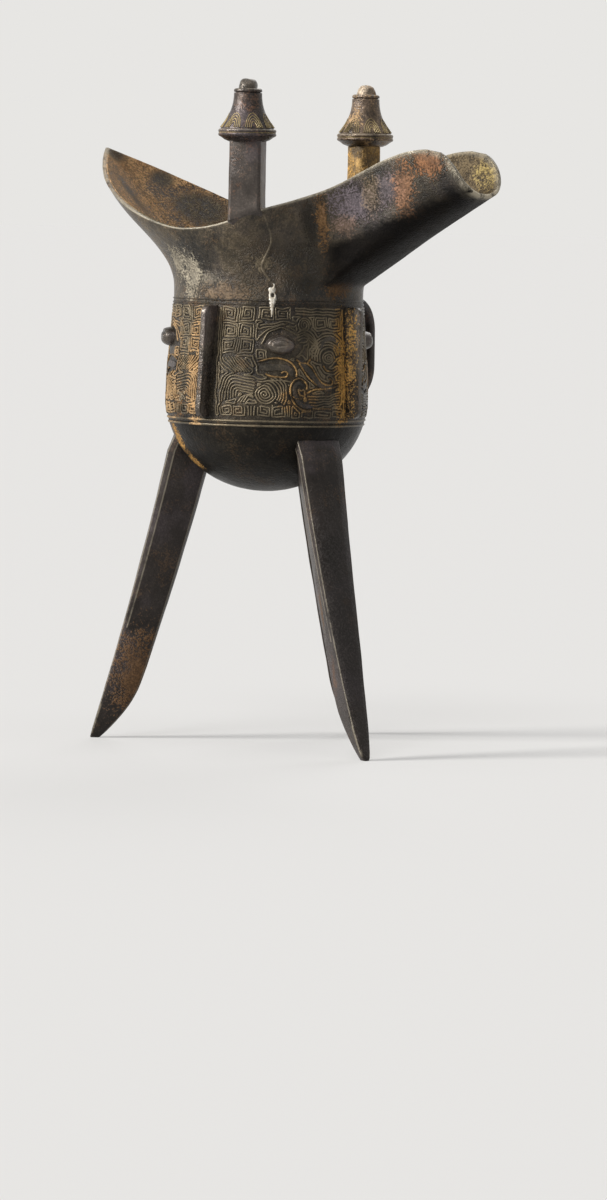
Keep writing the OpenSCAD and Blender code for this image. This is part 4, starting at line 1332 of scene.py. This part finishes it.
def build_stage():
    """A plain pale floor that runs out to the horizon, where it meets a world of the same tone."""
    f = Finish("pale_floor")
    f.feed(f.shader["Emission Color"], f.mix((0, 0, 0), FLOOR_GLOW, f.seen()))
    f.shader["Emission Strength"].default_value = 1.0
    f.shader["Specular IOR Level"].default_value = 0.0
    corners = [(x * HORIZON, y * HORIZON, 0) for x, y in ((-1, -1), (1, -1), (1, 1), (-1, 1))]
    mesh = bpy.data.meshes.new("floor")
    mesh.from_pydata(corners, [], [(0, 1, 2, 3)])
    mesh.materials.append(f.finish(FLOOR_TONE, 0.9, 0.0, f.grain(40, 2.0, 0.5), 0.02))
    floor = placed("floor", mesh)


def add_lamp(name, place, strength, softness, tint=(1, 1, 1)):
    """A distant soft lamp, so that the floor is lit as evenly as the cup."""
    data = bpy.data.lights.new(name, "SUN")
    data.energy = strength
    data.angle = radians(softness)
    data.color = tint
    lamp = placed(name, data)
    lamp.location = place
    lamp.rotation_euler = (-Vector(place)).to_track_quat("-Z", "Y").to_euler()


def build_light(ahead, right):
    left = -right
    toward = -Vector((ahead.x, ahead.y, 0)).normalized()
    up = Vector((0, 0, 1))
    add_lamp("key_light", left * 1.2 + toward * 0.42 + up * 0.52, 4.7, 19, (1, 0.985, 0.96))
    add_lamp("front_light", left * 0.4 + toward * 1.0 + up * 1.2, 0.45, 20, (0.98, 0.99, 1))
    add_lamp("rear_light", toward * -1.0 + right * 0.3 + up * 0.8, 0.6, 30)
    add_lamp("top_light", toward * 0.15 + up * 1.3, 0.5, 40)
    world = bpy.data.worlds.new("studio")
    scene.world = world
    world.use_nodes = True
    graph = Graph(world.node_tree)
    background = world.node_tree.nodes["Background"].inputs
    graph.feed(background["Color"], graph.mix(WORLD_LIGHT, WORLD_TONE, graph.seen()))
    background["Strength"].default_value = 1.0


scene.view_settings.view_transform = "Standard"
ahead, right = add_camera()
build_stage()
build_light(ahead, right)
build_wall()
mouth_tree = BVHTree.FromObject(build_mouth(), bpy.context.evaluated_depsgraph_get())
build_borders()
for name, hand, middle in (
    ("mask_spout_side", 1, MASK), ("mask_tail_side", -1, MASK),
    ("handle_spout_side", -1, HANDLE), ("handle_tail_side", 1, HANDLE),
):
    build_half_mask(name, hand, middle)
build_flange("flange_toward_the_spout", 0.0, "flange_spout", gilt_finish)
build_flange("flange_of_the_mask", MASK - radians(1.1), "flange_mask", worn_finish, radians(1.5))
build_flange("flange_toward_the_tail", pi, "flange_tail", worn_finish)
EYE_ANGLE = radians(42)
build_eye("eye_mask_toward_spout", MASK + EYE_ANGLE, "eye_mask_spout_side", 124.9)
build_eye("eye_mask_toward_tail", MASK - EYE_ANGLE - radians(4), "eye_mask_tail_side", 126.4)
build_eye("eye_rear_toward_spout", HANDLE - EYE_ANGLE, "eye_handle_spout_side")
build_eye("eye_rear_toward_tail", HANDLE + EYE_ANGLE, "eye_handle_tail_side")
build_post("post_on_the_mask_side", -1, 9.7, 0.9, grey_finish, "bronze_grey", "post_mask_side", mouth_tree)
build_post("post_on_the_handle_side", 1, 8.4, 1.5, golden_finish, "bronze_golden", "post_handle_side",
           mouth_tree)
build_cap("bell_cap_mask_side", -1, grey_cap_finish, "bronze_grey", "cap_mask_side")
build_knob("knob_mask_side", -1, worn_finish, "cap_knob_mask_side")
build_cap("bell_cap_handle_side", 1, brown_cap_finish, "bronze_golden", "cap_handle_side")
build_knob("knob_handle_side", 1, pale_finish, "cap_knob_handle_side")
build_leg("front_leg_toward_spout", radians(-19), "leg_spout_side")
build_leg("front_leg_toward_tail", radians(-161), "leg_tail_side")
build_leg("rear_leg", HANDLE, "leg_handle_side")
build_handle()
build_head()
build_repair()
build_seam(mouth_tree)
